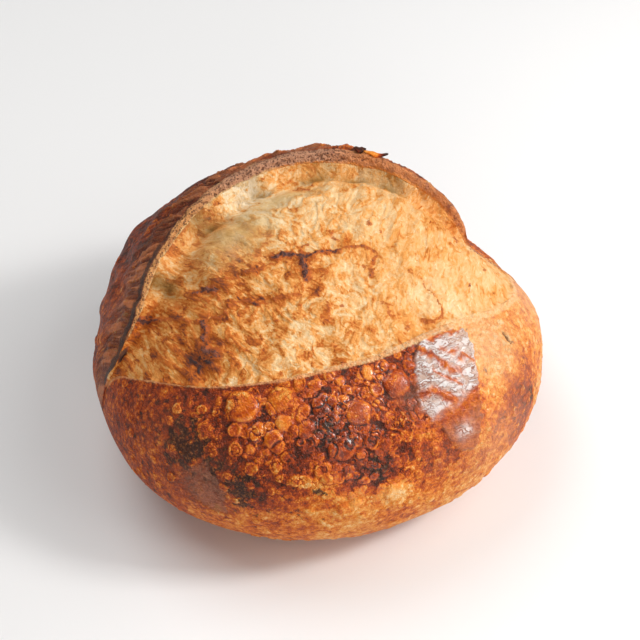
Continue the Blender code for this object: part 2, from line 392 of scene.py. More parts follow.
# %% [markdown]
# ## Tears and scabs
# Where the skin of the crumb ripped late, its edges stood up, dried out and scorched. Each tear is a short
# path over the crumb with a width and a height. A ridge follows the path, beaded by noise.
# %% Relief of tears, scabs and the folded flap
TEARS = {
    "long scab": ([(-17, 91), (-12.6, 90), (-9, 87.5), (-5.5, 87)], 1.4, 1.8, 1.0),
    "scab lump": ([(-8.5, 87), (-8.9, 82), (-9.1, 78)], 1.9, 2.1, 0.85),
    "spur": ([(-9, 88), (-7, 91), (-4, 92)], 0.8, 0.9, 0.6),
    "seam from the scab": ([(-6, 87), (0, 87.3), (7, 85.7), (13, 85.5), (18, 84)], 0.8, 1.1, 0.75),
    "hook": ([(18, 84), (19, 80.4), (16, 77)], 0.7, 0.8, 0.55),
    "small hook": ([(13, 76.5), (15, 74.5), (14, 72)], 0.8, 0.7, 0.6),
    "loop": ([(-6, 85), (-5, 80), (-2, 78), (2, 80)], 0.7, 0.6, 0.3),
    "left scab": ([(-45, 92), (-42, 92), (-39, 88.5)], 1.6, 1.7, 0.8),
    "string": ([(-39.4, 86.5), (-38.6, 79), (-39.1, 74)], 0.6, 0.7, 0.4),
    "low scab": ([(-46, 76.6), (-47.2, 69.4), (-47.2, 63)], 1.4, 1.6, 0.78),
    "low lump": ([(-48.5, 65), (-47, 62), (-44, 60)], 2.3, 1.6, 0.72),
    "tear root": ([(-62, 102.6), (-60, 99), (-58, 95)], 1.1, 1.0, 0.85),
    "left tear": ([(-58, 95), (-55, 90), (-53.3, 86.6), (-49, 80), (-45.7, 76.7), (-40, 75.8), (-36, 78.6)],
                  0.9, 1.0, 0.45),
    "corner crack": ([(-62, 102), (-64, 99.5), (-65.6, 97.5)], 0.8, 0.8, 0.6),
    "middle line": ([(-36.5, 80.5), (-29.7, 75.7), (-23, 73), (-17.5, 72.4), (-13.8, 71.3)], 0.8, 0.9, 0.38),
    "upper line": ([(-40, 92), (-34, 91), (-30.7, 89.5), (-23.6, 88.5), (-19, 88)], 0.9, 0.8, 0.38),
    "gash": ([(3, 125), (5, 123), (8, 120)], 0.9, 0.7, 0.45),
    "cut": ([(6, 95), (7, 92), (8, 90)], 0.8, 0.7, 0.5),
    "streak": ([(-6, 66), (-6.3, 63), (-7, 60)], 0.7, 0.6, 0.5),
    "short line": ([(14, 60), (14, 55), (17, 54)], 0.6, 0.5, 0.42),
    "flap": ([(28, 70), (30.9, 64.7), (32, 58.5), (32.3, 53), (31.5, 49.3), (28.7, 48.6), (25, 49.8)], 0.7, 0.7, 0.5),
}


def tear_path(knots):
    """A path on the skin through these places, with points closer than 2 mm or so."""
    places = []
    for (a0, b0), (a1, b1) in zip(knots, knots[1:]):
        steps = 4
        places += [(a0 + (a1 - a0) * i / steps, b0 + (b1 - b0) * i / steps) for i in range(steps)]
    places.append(knots[-1])
    return np.array([on_skin(a, b) for a, b in places])


def tears_relief(s):
    """Height of the ridges in millimetres, how scorched they are, and how close a tear is."""
    height, scorch, near = (np.zeros(len(s.points)) for _ in range(3))
    pick = np.where((s.crumb > 0.3) & (s.rim_mm > 1.0))[0]
    spots, space = s.points[pick], s.points[pick] / MM
    warped = space + np.stack([noise(space, 5.0, 60 + k, 2) for k in range(3)], axis=1) * 1.0
    beads = 0.6 + 1.0 * np.clip(noise(space, 2.6, 21), -0.5, 1.0)
    for knots, width, tall, burnt in TEARS.values():
        gap = distance_to_path(warped * MM, tear_path(knots)) / MM
        ridge = np.exp(-((gap / width) ** 2)) * beads
        height[pick] = np.maximum(height[pick], ridge * tall)
        scorch[pick] = np.maximum(scorch[pick], np.exp(-((gap / (width * 1.25)) ** 2)) * burnt)
        near[pick] = np.maximum(near[pick], np.exp(-gap / (width * 2.2)) * (0.35 + 0.65 * burnt))
    return height, scorch, near


tear_height, tear_scorch, tear_near = tears_relief(skin)
relief["tears"] = tear_height * skin.crumb
print("tears:", len(TEARS), " highest ridge in mm:", round(float(tear_height.max()), 2))

# %% [markdown]
# ## The ear
# The ear is the lip of crust that lifted as the loaf rose. Its edge is ragged, the torn face below it is
# full of small pores, and the crust behind the edge splits into flakes that run along it. Pores are noise
# cut off at a level, so that only its peaks dig in.
# %% Relief of the ear and the crust behind it
def ear_relief(s):
    """Height of pores, ragged edge and flaky layers in millimetres, where the pores are, and the layers."""
    space = s.points / MM
    height = np.zeros(len(s.points))
    face = np.where(s.face > 0.01)[0]
    many = 1.0 - 0.75 * step(s.along[face], 20.0, 38.0)
    pores = many * step(noise(space[face], 2.2, 31), 0.30, 0.7)
    pores += 0.7 * many * step(noise(space[face], 1.5, 32), 0.28, 0.6)
    rough = noise(space[face], 3.5, 33, 2)
    inner = step(s.edge_mm[face], 0.5, 2.0)
    height[face] += (0.4 * rough - 0.5 * pores) * inner * s.face[face]
    pore = np.zeros(len(s.points))
    pore[face] = np.minimum(pores, 1.0)
    edge = np.where(s.edge_mm < 7.0)[0]
    ragged = 0.8 * noise(space[edge], 10.0, 34) + 0.12 * noise(space[edge], 3.2, 35)
    height[edge] += ragged * (1.0 - step(s.edge_mm[edge], 1.0, 6.5)) * step(s.face[edge] + s.behind[edge], 0.0, 0.6)
    back = np.where(s.behind > 0.01)[0]
    flow = swirled(s.flow[back], 26.0, 7.0, 36)
    layers = ridges(flow * (0.33, 1.0, 1.0), 7.5, 39, 3)
    terraces = step(np.mod(layers * 3.0 + 0.5 * noise(flow, 5.0, 40), 1.0), 0.0, 0.35)
    plates = step(noise(flow * (0.4, 1.0, 1.0), 12.0, 43, 4), -0.06, 0.06)
    fade = (1.0 - 0.85 * step(s.edge_mm[back], 12.0, 38.0)) * (1.0 - 0.6 * step(s.along[back], 20.0, 40.0))
    fade *= 1.0 - 0.5 * step(-s.along[back], 32.0, 55.0)
    scales = 1.3 * layers - 1.2 + 0.4 * terraces + 1.0 * plates
    height[back] += scales * fade * step(s.edge_mm[back], 0.8, 5.5) * s.behind[back]
    flake = np.zeros(len(s.points))
    flake[back] = np.clip(0.5 * layers + 0.5 * plates, 0.0, 1.0)
    height[back] += 1.3 * noise(space[back], 17.0, 42, 2) * step(s.edge_mm[back], 2.0, 12.0) * s.behind[back]
    return height, pore, flake


relief["ear"], pore, flake = ear_relief(skin)
print("ear relief in mm:", round(float(relief["ear"].min()), 2), round(float(relief["ear"].max()), 2))

# %% [markdown]
# ## Blisters
# Gas under the skin of a dough that proved cold raises blisters. They crowd together in front and are
# small and flat elsewhere. A blister is a dome on the skin. Where two meet, the higher one wins, which
# leaves the sharp crease seen between soap bubbles. The largest are listed one by one, as they are landmarks,
# and the rest fall at random with a fixed start, so that they are the same each time.
# %% Blisters
LARGE_BLISTERS = (  # along, around, radius in mm
    (-39, 38, 8.0), (-36, 42, 2.9), (-35, 38, 2.6), (-28, 38, 6.2), (-49, 32, 4.6), (-41, 31, 3.6),
    (-36, 29, 3.7), (-28, 31, 4.2), (-25, 31, 2.4), (-31, 27, 4.6), (-22, 28, 4.9), (-20, 30, 2.6),
    (-27, 26, 2.3), (-24, 25, 2.2), (-41, 25, 3.6), (-37, 19, 3.6), (-31, 19, 3.2), (-47, 24, 2.6),
    (-30, 16, 2.6), (-24, 14, 3.6), (-50, 40, 2.6), (-46, 38, 2.2), (-22, 41, 3.1), (-7, 29, 6.4),
    (-17, 32, 4.1), (-13, 21, 6.0), (7, 34, 6.6), (5, 20, 3.7), (-1, 39, 4.0), (-4, 22, 3.6), (2, 24, 3.2),
    (-1, 5, 5.5), (-14, 3, 4.0),
)
CORE_POINT = Vector(CORE)
rng = np.random.default_rng(20)


def crowd(along, around):
    """How thickly blisters stand at a place, from 0 to 1."""
    middle = math.exp(-(((along + 14) / 36) ** 2) - (((around - 25) / 18) ** 2))
    right = math.exp(-(((along - 40) / 20) ** 2) - (((around - 22) / 22) ** 2))
    return min(1.0, 0.16 + 0.84 * middle + 0.25 * right)


def scatter_blisters(count, small, large, power):
    """Random blisters as (place, radius, height, how sunk), in metres, on the crust but not on the crumb."""
    made = []
    for _ in range(count):
        along = math.degrees(math.asin(rng.uniform(-0.97, 0.97)))
        around = rng.uniform(-42.0, 222.0)
        chance, size, tilt, sunk = rng.random(4)
        thick = crowd(along, around)
        rim = float(smooth_line(RIM_LINE, along))
        ear = float(smooth_line(EAR_LINE, along))
        if chance > thick or rim - 2.0 < around < ear + 3.0:
            continue
        radius = (small + (large - small) * size**power) * (0.75 + 0.35 * thick)
        height = radius * (0.22 + 0.28 * thick) * (0.7 + 0.6 * tilt)
        made.append((on_skin(along, around), radius * MM, height * MM, max(0.0, 2.0 * sunk - 1.0)))
    return made


blisters = [(on_skin(a, b), r * MM, 0.46 * r**0.9 * MM, 0.15 + 0.5 * (r < 4.0)) for a, b, r in LARGE_BLISTERS]
blisters += scatter_blisters(4200, 1.5, 3.5, 1.6)
blisters += scatter_blisters(12000, 0.8, 1.7, 1.3)
print("blisters:", len(blisters), "of which placed by hand:", len(LARGE_BLISTERS))


def blister_relief(s):
    """Height of the domes in millimetres, how domed each point is, the ring near its foot that the material lightens as
    a painted highlight, and the seams.
    """
    space = s.points / MM
    warp = np.stack([noise(space, 6.0, 24 + k) + 0.2 * noise(space, 2.2, 27 + k) for k in range(3)], axis=1)
    tree = KDTree(len(s.points))
    for i, point in enumerate(s.points + warp * 0.7 * MM):
        tree.insert(point, i)
    tree.balance()
    height, second, dome, lip = (np.zeros(len(s.points)) for _ in range(4))
    for place, radius, tall, sunk in blisters:
        found = tree.find_range(place, radius)
        if not found:
            continue
        near = np.array([f[1] for f in found])
        share = np.array([f[2] for f in found]) / radius
        swell = np.clip(1.0 - share**2, 0.0, 1.0) ** 0.55
        edge = np.exp(-(((share - 0.80) / 0.17) ** 2))
        shape = swell * (1.0 - 0.75 * sunk) + 0.75 * sunk * edge
        this = shape * tall / MM
        taller = this > height[near]
        second[near] = np.where(taller, height[near], np.maximum(second[near], this))
        height[near] = np.where(taller, this, height[near])
        big = min(1.0, radius / (2.2 * MM))
        dome[near] = np.where(taller, swell * big, dome[near])
        lip[near] = np.where(taller, edge * big, lip[near] * (1.0 - swell))
    crust = np.clip(s.front + s.behind, 0.0, 1.0) * step(-s.rim_mm, 0.5, 3.0) + s.behind * step(s.edge_mm, 2, 6)
    crust = np.clip(crust, 0.0, 1.0)
    apart = height - second
    seam = (1.0 - step(apart, 0.05, 0.30)) * step(height, 0.15, 0.6)
    lip = np.maximum(lip, step(apart, 0.2, 0.45) * (1.0 - step(apart, 0.5, 0.9)) * step(second, 0.2, 0.5))
    height -= 0.35 * seam
    return height * crust, dome * crust, lip * crust, seam * crust


blister_height, blister_dome, blister_lip, blister_seam = blister_relief(skin)
relief["blisters"] = blister_height
print("highest blister in mm:", round(float(blister_height.max()), 2))

# %% [markdown]
# ## The glossy bubble and the peeled patch
# At the front right one large bubble lifted the skin, fell back and set as a wrinkled, shiny film with a
# steep edge. At the lower left a thin layer of skin peeled away and left a dull patch with a crisp step.
# Both are flat outlines on the skin. A point's distance from the outline, positive inside, gives the step.
# %% Relief of the bubble and the peeled patch
BUBBLE = [
    (10.6, 25), (11.2, 30), (12.8, 35.4), (16.2, 40.8), (20.5, 44.4), (26, 45.8), (31.3, 45), (35.8, 41.7),
    (34.9, 37), (31.2, 29.8), (28.3, 21.5), (27.2, 15.6), (23.8, 8.4), (18.6, 9.4), (15.4, 17.3), (11.6, 20.5),
]
FOLD_SLOPE = (0.89, -0.45)  # the folds run to the right and down
PEELED = [(-58, 18), (-53, 19), (-49, 20), (-46, 15), (-44, 6), (-44, -2), (-49, -2), (-54, 2), (-57, 9)]


def film_relief(s):
    """Height of the wrinkled film in millimetres, its share of the surface and its folds."""
    wobble = noise(s.points / MM, 5.0, 51, 3) * 1.5
    depth = inside_mm(s, BUBBLE) + wobble
    film = step(depth, -0.5, 1.2 + 2.0 * step(-s.along, -20.0, -12.0))
    pick = np.where(film > 0.0)[0]
    flow = swirled(s.flow[pick], 16.0, 7.0, 52)
    downhill = flow[:, 0] * FOLD_SLOPE[0] + flow[:, 1] * FOLD_SLOPE[1]
    across = flow[:, 1] * FOLD_SLOPE[0] - flow[:, 0] * FOLD_SLOPE[1]
    drawn = np.stack([downhill * 0.25, across, np.zeros(len(pick))], axis=1)
    long_folds = ridges(drawn, 5.0, 55, 2)
    short_folds = ridges(drawn * (1.6, 1.0, 1.0), 2.6, 58)
    folds = 0.6 * long_folds + 0.4 * short_folds
    height = np.zeros(len(s.points))
    height[pick] = film[pick] * (1.4 + 0.75 * (folds - 0.5))
    lip = np.exp(-(((depth - 1.6) / 1.3) ** 2)) * step(s.along, 20.0, 27.0)
    fold = np.zeros(len(s.points))
    fold[pick] = folds
    return height + 0.9 * lip, film, fold


def peeled_relief(s):
    """The shallow step of the peeled patch, and its share of the surface."""
    wobble = noise(s.points / MM, 4.0, 61, 3) * 1.5
    patch = step(inside_mm(s, PEELED) + wobble, -0.1, 0.5) * step(s.along, -60.0, -48.0)
    return -0.6 * patch, patch


def small_marks(s):
    """The short slit at the right and the ring left by a burst blister below."""
    slit = np.exp(-((distance_to_path(s.points, np.array([on_skin(48, 36), on_skin(48, 32)])) / (0.8 * MM)) ** 2))
    x, y = s.flow[:, 0] - RADIUS * math.radians(-14), s.flow[:, 1] - RADIUS * math.radians(3)
    ring = np.exp(-(((np.hypot(x, y) - 3.6) / 0.8) ** 2))
    return slit, ring


FOLDS_WITHOUT_REFLECTION = (  # folds that get no painted reflection, so the amber crust shows: a path and its half width in mm
    ([(17, 42), (21.7, 37.2), (23.2, 33.7), (26.7, 30.6)], 1.5), ([(13, 29), (17.1, 28.6), (21.2, 24.6)], 1.9),
    ([(22, 43.5), (27, 44), (32, 43)], 1.3), ([(28.5, 37.7), (30.9, 34), (32, 31.5)], 0.7),
    ([(24.5, 39.5), (27.5, 36), (29.5, 32.5)], 0.7), ([(19, 34), (22, 30.5), (25, 28)], 0.6),
)


def film_reflection_share(s, film):
    """Where the film gets a painted whitish reflection: everywhere but in the listed folds and at its foot."""
    pick = np.where(film > 0.0)[0]
    wobble = 1.1 * noise(s.points[pick] / MM, 3.5, 53, 2)
    unreflecting_film = step(24.0 + 0.2 * (s.along[pick] - 20.0) - s.around[pick] + wobble, -1.0, 2.0)
    for knots, width in FOLDS_WITHOUT_REFLECTION:
        gap = distance_to_path(s.points[pick], tear_path(knots)) / MM
        unreflecting_film = np.maximum(unreflecting_film, 1.0 - step(gap + wobble, 0.7 * width, 1.5 * width))
    # the middle of the lobe gets a painted highlight
    unreflecting_film = unreflecting_film * (1.0 - spot(s, 21.4, 15.2, 4.0, 3.0)[pick])
    reflecting = np.zeros(len(s.points))
    reflecting[pick] = (1.0 - unreflecting_film) * film[pick] ** 2
    return reflecting


film_height, film, fold = film_relief(skin)
# the share of the film painted whitish as a reflection, stored as pale
pale = film_reflection_share(skin, film)
film_height += 1.2 * spot(skin, 21.0, 15.5, 7.0, 5.0) * film
peel_height, peeled = peeled_relief(skin)
slit, ring = small_marks(skin)
relief["film"] = film_height * skin.front
relief["peeled"] = peel_height * skin.front
relief["marks"] = -1.6 * slit + 0.4 * ring
bare = (1.0 - film) * (1.0 - 0.8 * peeled)
relief["blisters"] = relief["blisters"] * bare
blister_dome, blister_lip, blister_seam = (layer * bare for layer in (blister_dome, blister_lip, blister_seam))
print("film covers", round(float(film.mean()), 3), "and the peeled patch", round(float(peeled.mean()), 3))

# %% [markdown]
# ## Rim, base and the last unevenness
# The front rim is a narrow, crumbly lip. The base is flat where the loaf stood, so relief fades out there
# and at the two tips, where the slices meet. Then everything is added up and each point moves along its
# normal. A sculpting brush could do it by eye; adding named layers keeps every feature where it belongs.
# %% Add the relief to the skin
def rim_relief(s):
    near = np.exp(-((s.rim_mm / 2.0) ** 2)) * (1.0 - s.behind)
    space = s.points / MM
    return near * (0.35 * noise(space, 1.7, 71) + 0.55 * noise(space, 6.0, 72, 2))


def press_in(obj, s, layers):
    """Moves every point along its normal by the sum of the layers, and keeps it inside the built box."""
    total = sum(layers.values()) * step(s.points[:, 2], 1.0 * MM, 9.0 * MM)
    total = total * step(np.cos(np.radians(s.along)), 0.06, 0.3)
    moved = s.points + s.normals * (total - 0.25)[:, None] * MM
    low, high = (np.array(corner) for corner in solid_box)
    moved = np.clip(moved, low + 0.05 * MM, high - 0.05 * MM)
    moved[:, 2] = np.where(s.points[:, 2] < 0.3 * MM, 0.0, moved[:, 2])
    obj.data.vertices.foreach_set("co", moved.astype(np.float32).ravel())
    obj.data.update()
    return moved, total


relief["rim"] = rim_relief(skin)
relief["slow"] = 0.5 * noise(skin.points / MM, 30.0, 74, 2)
moved, total_relief = press_in(loaf, skin, relief)
print("relief in mm runs from", round(float(total_relief.min()), 2), "to", round(float(total_relief.max()), 2))

# %% [markdown]
# ## How brown each place is
# An oven browns unevenly, so the crust is dabbed with heat as if by brush: each dab has a place, a reach
# and a level, from 0, pale, to 1, charred. A point takes the mean of the dabs near it. Other dabs say
# where the skin is dusty with dried starch and where it is glossy. Painting vertex colours by hand would
# do as well, but named dabs can be moved and are easy to read.
# %% Dabs of heat, dust and gloss on the crust
BAKING = {  # along, around, reach in mm, level
    "left end": (-76, 100, 26, 0.52),
    "left back": (-58, 136, 30, 0.52),
    "left shoulder": (-66, 52, 22, 0.53),
    "below left rim": (-47, 40, 14, 0.62),
    "round the char": (-48, 20, 14, 0.70),
    "left low": (-66, 6, 20, 0.54),
    "left base": (-45, -16, 24, 0.38),
    "amber": (-35, 35, 12, 0.57),
    "amber middle": (-27, 33, 9, 0.46),
    "below the amber": (-25, 23, 9, 0.66),
    "middle top": (-4, 38, 14, 0.57),
    "middle": (-10, 21, 12, 0.68),
    "dark gap": (-18, 29, 7, 0.84),
    "dark gap below": (-16, 24, 6, 0.80),
    "dark middle": (-3, 18, 10, 0.72),
    "lower front": (-32, 13, 11, 0.62),
    "front foot": (-20, -9, 24, 0.30),
    "right end rim": (62, 48, 14, 0.30),
    "bubble": (17, 30, 15, 0.66),
    "left of the lobe": (13, 18, 6, 0.46),
    "under bubble": (14, 9, 10, 0.60),
    "pale spot": (0, 5, 4.5, 0.18),
    "right": (42, 34, 18, 0.18),
    "right low": (31, 6, 13, 0.44),
    "right foot": (24, -7, 26, 0.28),
    "right end patch": (43, 13, 9, 0.68),
    "right end patch below": (40, 2, 8, 0.58),
    "right end patch above": (50, 21, 7, 0.56),
    "right end": (66, 32, 24, 0.26),
    "far right": (72, 95, 26, 0.34),
    "behind ear right": (42, 120, 22, 0.42),
    "back right": (40, 165, 40, 0.55),
    "behind ear": (-8, 146, 34, 0.72),
    "behind ear left": (-44, 136, 26, 0.72),
    "back": (-15, 185, 45, 0.62),
    "back foot": (0, 222, 34, 0.32),
    "left foot": (-29, -6, 10, 0.47),
    "base": (0, -88, 66, 0.45),
}
CHAR = {
    "upper": (-54, 27, 13, 1.0),
    "lower": (-40, 11, 9, 1.0),
    "between": (-47, 18, 9, 0.85),
    "small": (-21, 10, 5, 0.6),
    "by the dome": (-17, 27, 7, 0.95),
    "middle": (-4, 14, 7, 0.72),
    "under the rim": (-2, 41, 5, 0.45),
    "by the bubble": (9, 39, 5, 0.45),
    "under the bubble": (6, 12, 6, 0.6),
    "right end": (49, 8, 6, 0.6),
    "left": (-64, 40, 9, 0.35),
    "foot": (-27, 5, 6, 0.35),
}
DUST = {
    "peeled": (-51, 8, 17, 0.7),
    "left": (-62, 28, 16, 0.40),
    "under bubble": (13, 9, 10, 0.6),
    "foot of the bubble": (23, 4, 13, 0.7),
    "front of dome": (8, 29, 7, 0.9),
    "dome": (-7, 29, 5, 0.6),
    "right end": (44, 11, 14, 0.9),
    "right": (45, 32, 18, 0.35),
    "left back": (-60, 126, 26, 0.65),
}
GLOSS = {
    "bubble": (22, 28, 28, 0.95),
    "beside the bubble": (2, 36, 14, 0.95),
    "domes": (-12, 30, 26, 0.85),
    "amber": (-34, 32, 16, 0.75),
    "middle": (-8, 12, 20, 0.75),
}
FLOUR = {
    "right": (40, 36, 19, 0.75),
    "right low": (34, 6, 16, 0.45),
    "right end": (70, 50, 26, 0.6),
    "right behind": (60, 100, 24, 0.4),
}


def direction_of(along, around):
    return np.array(outward(along, around))


def dabbed_mean(s, dabs, background):
    """The mean level of the dabs near each point; far from all of them it is the background."""
    away = (s.points - CORE) / np.linalg.norm(s.points - CORE, axis=1)[:, None]
    total, weight = np.full(len(away), 0.02 * background), np.full(len(away), 0.02)
    for along, around, reach, level in dabs.values():
        gap = np.linalg.norm(away - direction_of(along, around), axis=1) * RADIUS
        share = np.exp(-((gap / reach) ** 2))
        total, weight = total + share * level, weight + share
    return total / weight


def dabbed_most(s, dabs):
    """The strongest dab at each point."""
    away = (s.points - CORE) / np.linalg.norm(s.points - CORE, axis=1)[:, None]
    most = np.zeros(len(away))
    for along, around, reach, level in dabs.values():
        gap = np.linalg.norm(away - direction_of(along, around), axis=1) * RADIUS
        most = np.maximum(most, level * np.exp(-((gap / reach) ** 2)))
    return most


baking = dabbed_mean(skin, BAKING, 0.55)
dust = np.maximum(dabbed_most(skin, DUST), 0.0)
gloss = dabbed_most(skin, GLOSS)
char = dabbed_most(skin, CHAR)
flour = dabbed_most(skin, FLOUR)
print("baking runs from", round(float(baking.min()), 2), "to", round(float(baking.max()), 2))

# %% [markdown]
# ## Toasted crumb
# The crumb is creamy where it was still tearing open late, and toasted where it stood up into the heat.
# It has its own dabs, and the tears add scorched lines with a softer toasted border.
# %% Dabs of toast on the crumb
TOASTING = {
    "left corner": (-62, 78, 14, 0.56),
    "left middle": (-50, 71, 10, 0.58),
    "left low": (-45, 58, 8, 0.50),
    "left rim": (-36, 50, 7, 0.38),
    "dark blotch": (-50, 62, 7, 0.85),
    "upper left": (-35, 106, 20, 0.46),
    "top left": (-13, 120, 9, 0.14),
    "orange spot": (-31, 92, 7, 0.66),
    "middle left": (-29, 74, 13, 0.50),
    "below scab": (-10, 72, 12, 0.47),
    "middle low": (-12, 58, 12, 0.40),
    "middle": (2, 66, 13, 0.32),
    "pale rim": (8, 52, 9, 0.40),
    "top": (0, 108, 16, 0.31),
    "top right": (24, 106, 16, 0.31),
    "right": (40, 78, 18, 0.35),
    "far right": (58, 70, 16, 0.34),
    "right ear foot": (48, 96, 8, 0.46),
    "right low": (34, 58, 10, 0.26),
}
BROWN_SPOTS = ((20.7, 94.7, 1.3), (50.5, 86.3, 1.7), (56, 82.4, 1.1), (55, 67, 0.9), (45.8, 59.5, 1.0),
               (-1.2, 63.3, 1.0), (18.5, 49, 1.3), (24, 91, 0.8), (13, 60, 1.1))


def spots_of(s, spots):
    """Small round spots (along, around, radius in mm), 1 at their middles."""
    most = np.zeros(len(s.points))
    for along, around, radius in spots:
        gap = np.linalg.norm(s.points - on_skin(along, around), axis=1) / MM
        most = np.maximum(most, np.exp(-((gap / radius) ** 2)))
    return most


toast = dabbed_mean(skin, TOASTING, 0.4) + 0.28 * tear_near
scorch = np.maximum(tear_scorch, spots_of(skin, BROWN_SPOTS) * 0.75)
# painted shade: olive-brown darkening of the crumb in the hollows under the ear's lip, where its shadow falls
EAR_SHADOWS = ((-28.5, 122.5, 8, 3.5), (-8, 126, 6, 2.6), (12, 126.3, 10, 3.0), (25, 123, 9, 2.0, -22),
           (35, 117, 9, 1.7, -35), (-51, 110, 5, 10))
ear_shadow = np.clip(sum(spot(skin, *place) for place in EAR_SHADOWS), 0.0, 1.0)
glassy = glassy_crumb(skin)
print("toast runs from", round(float(toast.min()), 2), "to", round(float(toast.max()), 2))

# %% [markdown]
# ## From a dense skin to the finished mesh
# All that was measured is kept on the mesh as attributes, which the material reads later. Then the
# Decimate modifier takes away most triangles, first where the skin is flat, and blends the attributes.
# It keeps more detail than a plain coarse mesh of the same count would.
# %% Keep the measures as attributes and thin the mesh
MOST_TRIANGLES = 196000
MEASURES = {
    "baking": baking, "dust": dust, "gloss": gloss, "toast": toast, "scorch": scorch, "ear_shadow": ear_shadow,
    "glassy": glassy, "dome": blister_dome, "lip": blister_lip, "seam": blister_seam, "char": char, "flake": flake, "flour": flour,
    "crumb": skin.crumb, "face": skin.face, "behind": skin.behind,
    "face_share": skin.edge_mm / np.maximum(skin.depth + 0.8, 1.0),
    "rim_mm": np.clip(skin.rim_mm, -20.0, 20.0), "edge_mm": np.clip(skin.edge_mm, 0.0, 60.0),
    "film": film, "pale": pale, "peeled": peeled, "slit": slit, "ring": ring, "crest": crest, "pore": pore, "fold": fold,
}


def store(mesh, name, values, kind="FLOAT"):
    layer = mesh.attributes.new(name, kind, "POINT")
    key = "value" if kind == "FLOAT" else "vector"
    layer.data.foreach_set(key, np.asarray(values, np.float32).ravel())


for name, values in MEASURES.items():
    store(loaf.data, name, values)
store(loaf.data, "flow", skin.flow, "FLOAT_VECTOR")
triangles = sum(len(polygon.vertices) - 2 for polygon in loaf.data.polygons)
apply_modifier(loaf, "DECIMATE", ratio=min(1.0, MOST_TRIANGLES / triangles), use_collapse_triangulate=True)
only(loaf)
bpy.ops.object.shade_smooth()
print("triangles:", triangles, "thinned to", len(loaf.data.polygons))

# %% [markdown]
# ## Nodes without the clutter
# A material with many layers is easier to read when each layer is one line. These helpers add a node, set
# or wire its sockets and hand back what comes out. Colours are given as they look, from 0 to 255, and are
# turned into the linear values that Blender mixes.
# %% Node helpers
def seen(red, green, blue):
    """A colour as the eye sees it, 0 to 255, made linear."""
    parts = [value / 255.0 for value in (red, green, blue)]
    return tuple(v / 12.92 if v <= 0.04045 else ((v + 0.055) / 1.055) ** 2.4 for v in parts) + (1.0,)


class Nodes:
    """Adds nodes to one tree and wires them."""

    def __init__(self, tree):
        self.tree = tree
        tree.nodes.clear()

    def add(self, kind, inputs=None, **settings):
        node = self.tree.nodes.new("ShaderNode" + kind)
        node.location = (220 * (len(self.tree.nodes) % 12), -260 * (len(self.tree.nodes) // 12))
        for name, value in settings.items():
            setattr(node, name, value)
        for key, value in (inputs or {}).items():
            if isinstance(value, bpy.types.NodeSocket):
                self.tree.links.new(value, node.inputs[key])
            else:
                node.inputs[key].default_value = value
        return node

    def sum(self, *values):
        total = values[0]
        for value in values[1:]:
            total = self.add("Math", {0: total, 1: value}, operation="ADD").outputs[0]
        return total

    def times(self, *values):
        total = values[0]
        for value in values[1:]:
            total = self.add("Math", {0: total, 1: value}, operation="MULTIPLY").outputs[0]
        return total

    def rest(self, value):
        return self.add("Math", {0: 1.0, 1: value}, operation="SUBTRACT").outputs[0]

    def most(self, a, b):
        return self.add("Math", {0: a, 1: b}, operation="MAXIMUM").outputs[0]

    def between(self, value, low, high, to_low=0.0, to_high=1.0):
        """Stretches low..high to a new range, smoothly and without going past it."""
        sockets = {"Value": value, "From Min": low, "From Max": high, "To Min": to_low, "To Max": to_high}
        return self.add("MapRange", sockets, interpolation_type="SMOOTHSTEP").outputs[0]

    def mix(self, share, first, second):
        node = self.add("Mix", {0: share, 6: first, 7: second}, data_type="RGBA")
        return node.outputs[2]

    def measure(self, name, output="Fac"):
        return self.add("Attribute", attribute_name=name).outputs[output]

    def ramp(self, value, stops):
        node = self.add("ValToRGB", {0: value})
        points = node.color_ramp.elements
        while len(points) < len(stops):
            points.new(0.5)
        for point, (place, colour) in zip(points, stops):
            point.position = place
            point.color = colour
        return node.outputs[0]

    def stretch(self, vector, scale):
        return self.add("VectorMath", {0: vector, 1: scale}, operation="MULTIPLY").outputs[0]

    def group(self, tree, **inputs):
        node = self.add("Group", node_tree=tree)
        for name, value in inputs.items():
            if isinstance(value, bpy.types.NodeSocket):
                self.tree.links.new(value, node.inputs[name])
            else:
                node.inputs[name].default_value = value
        return node.outputs[0]


def new_group(name, inputs, output, output_type):
    """An empty shader group with named sockets; gives the group, its nodes and its input node."""
    tree = bpy.data.node_groups.new(name, "ShaderNodeTree")
    for socket, (kind, value) in inputs.items():
        made = tree.interface.new_socket(name=socket, in_out="INPUT", socket_type="NodeSocket" + kind)
        if value is not None:
            made.default_value = value
    tree.interface.new_socket(name=output, in_out="OUTPUT", socket_type="NodeSocket" + output_type)
    nodes = Nodes(tree)
    start = tree.nodes.new("NodeGroupInput")
    end = tree.nodes.new("NodeGroupOutput")
    return tree, nodes, start, end


print("a warm brown in linear values:", [round(v, 3) for v in seen(205, 110, 45)])

# %% [markdown]
# ## Effects that several materials share
# Browning is one path of colour: raw dough goes peach, gold, amber, brown and at last black, whatever the
# part. Mottling breaks up any flat value, and Fine grain is the floury roughness that catches light. As
# groups with named inputs they are built once and placed in each material with its own values.
# %% Shared node groups
BROWNING = [
    (0.00, seen(244, 206, 150)), (0.20, seen(236, 158, 66)), (0.36, seen(216, 110, 14)),
    (0.50, seen(176, 68, 6)), (0.64, seen(126, 43, 6)), (0.78, seen(80, 30, 8)), (0.90, seen(54, 23, 9)),
    (1.00, seen(36, 17, 9)),
]

browning, nodes, start, end = new_group("Browning", {"Level": ("Float", 0.5)}, "Colour", "Color")
browning.links.new(nodes.ramp(start.outputs["Level"], BROWNING), end.inputs["Colour"])

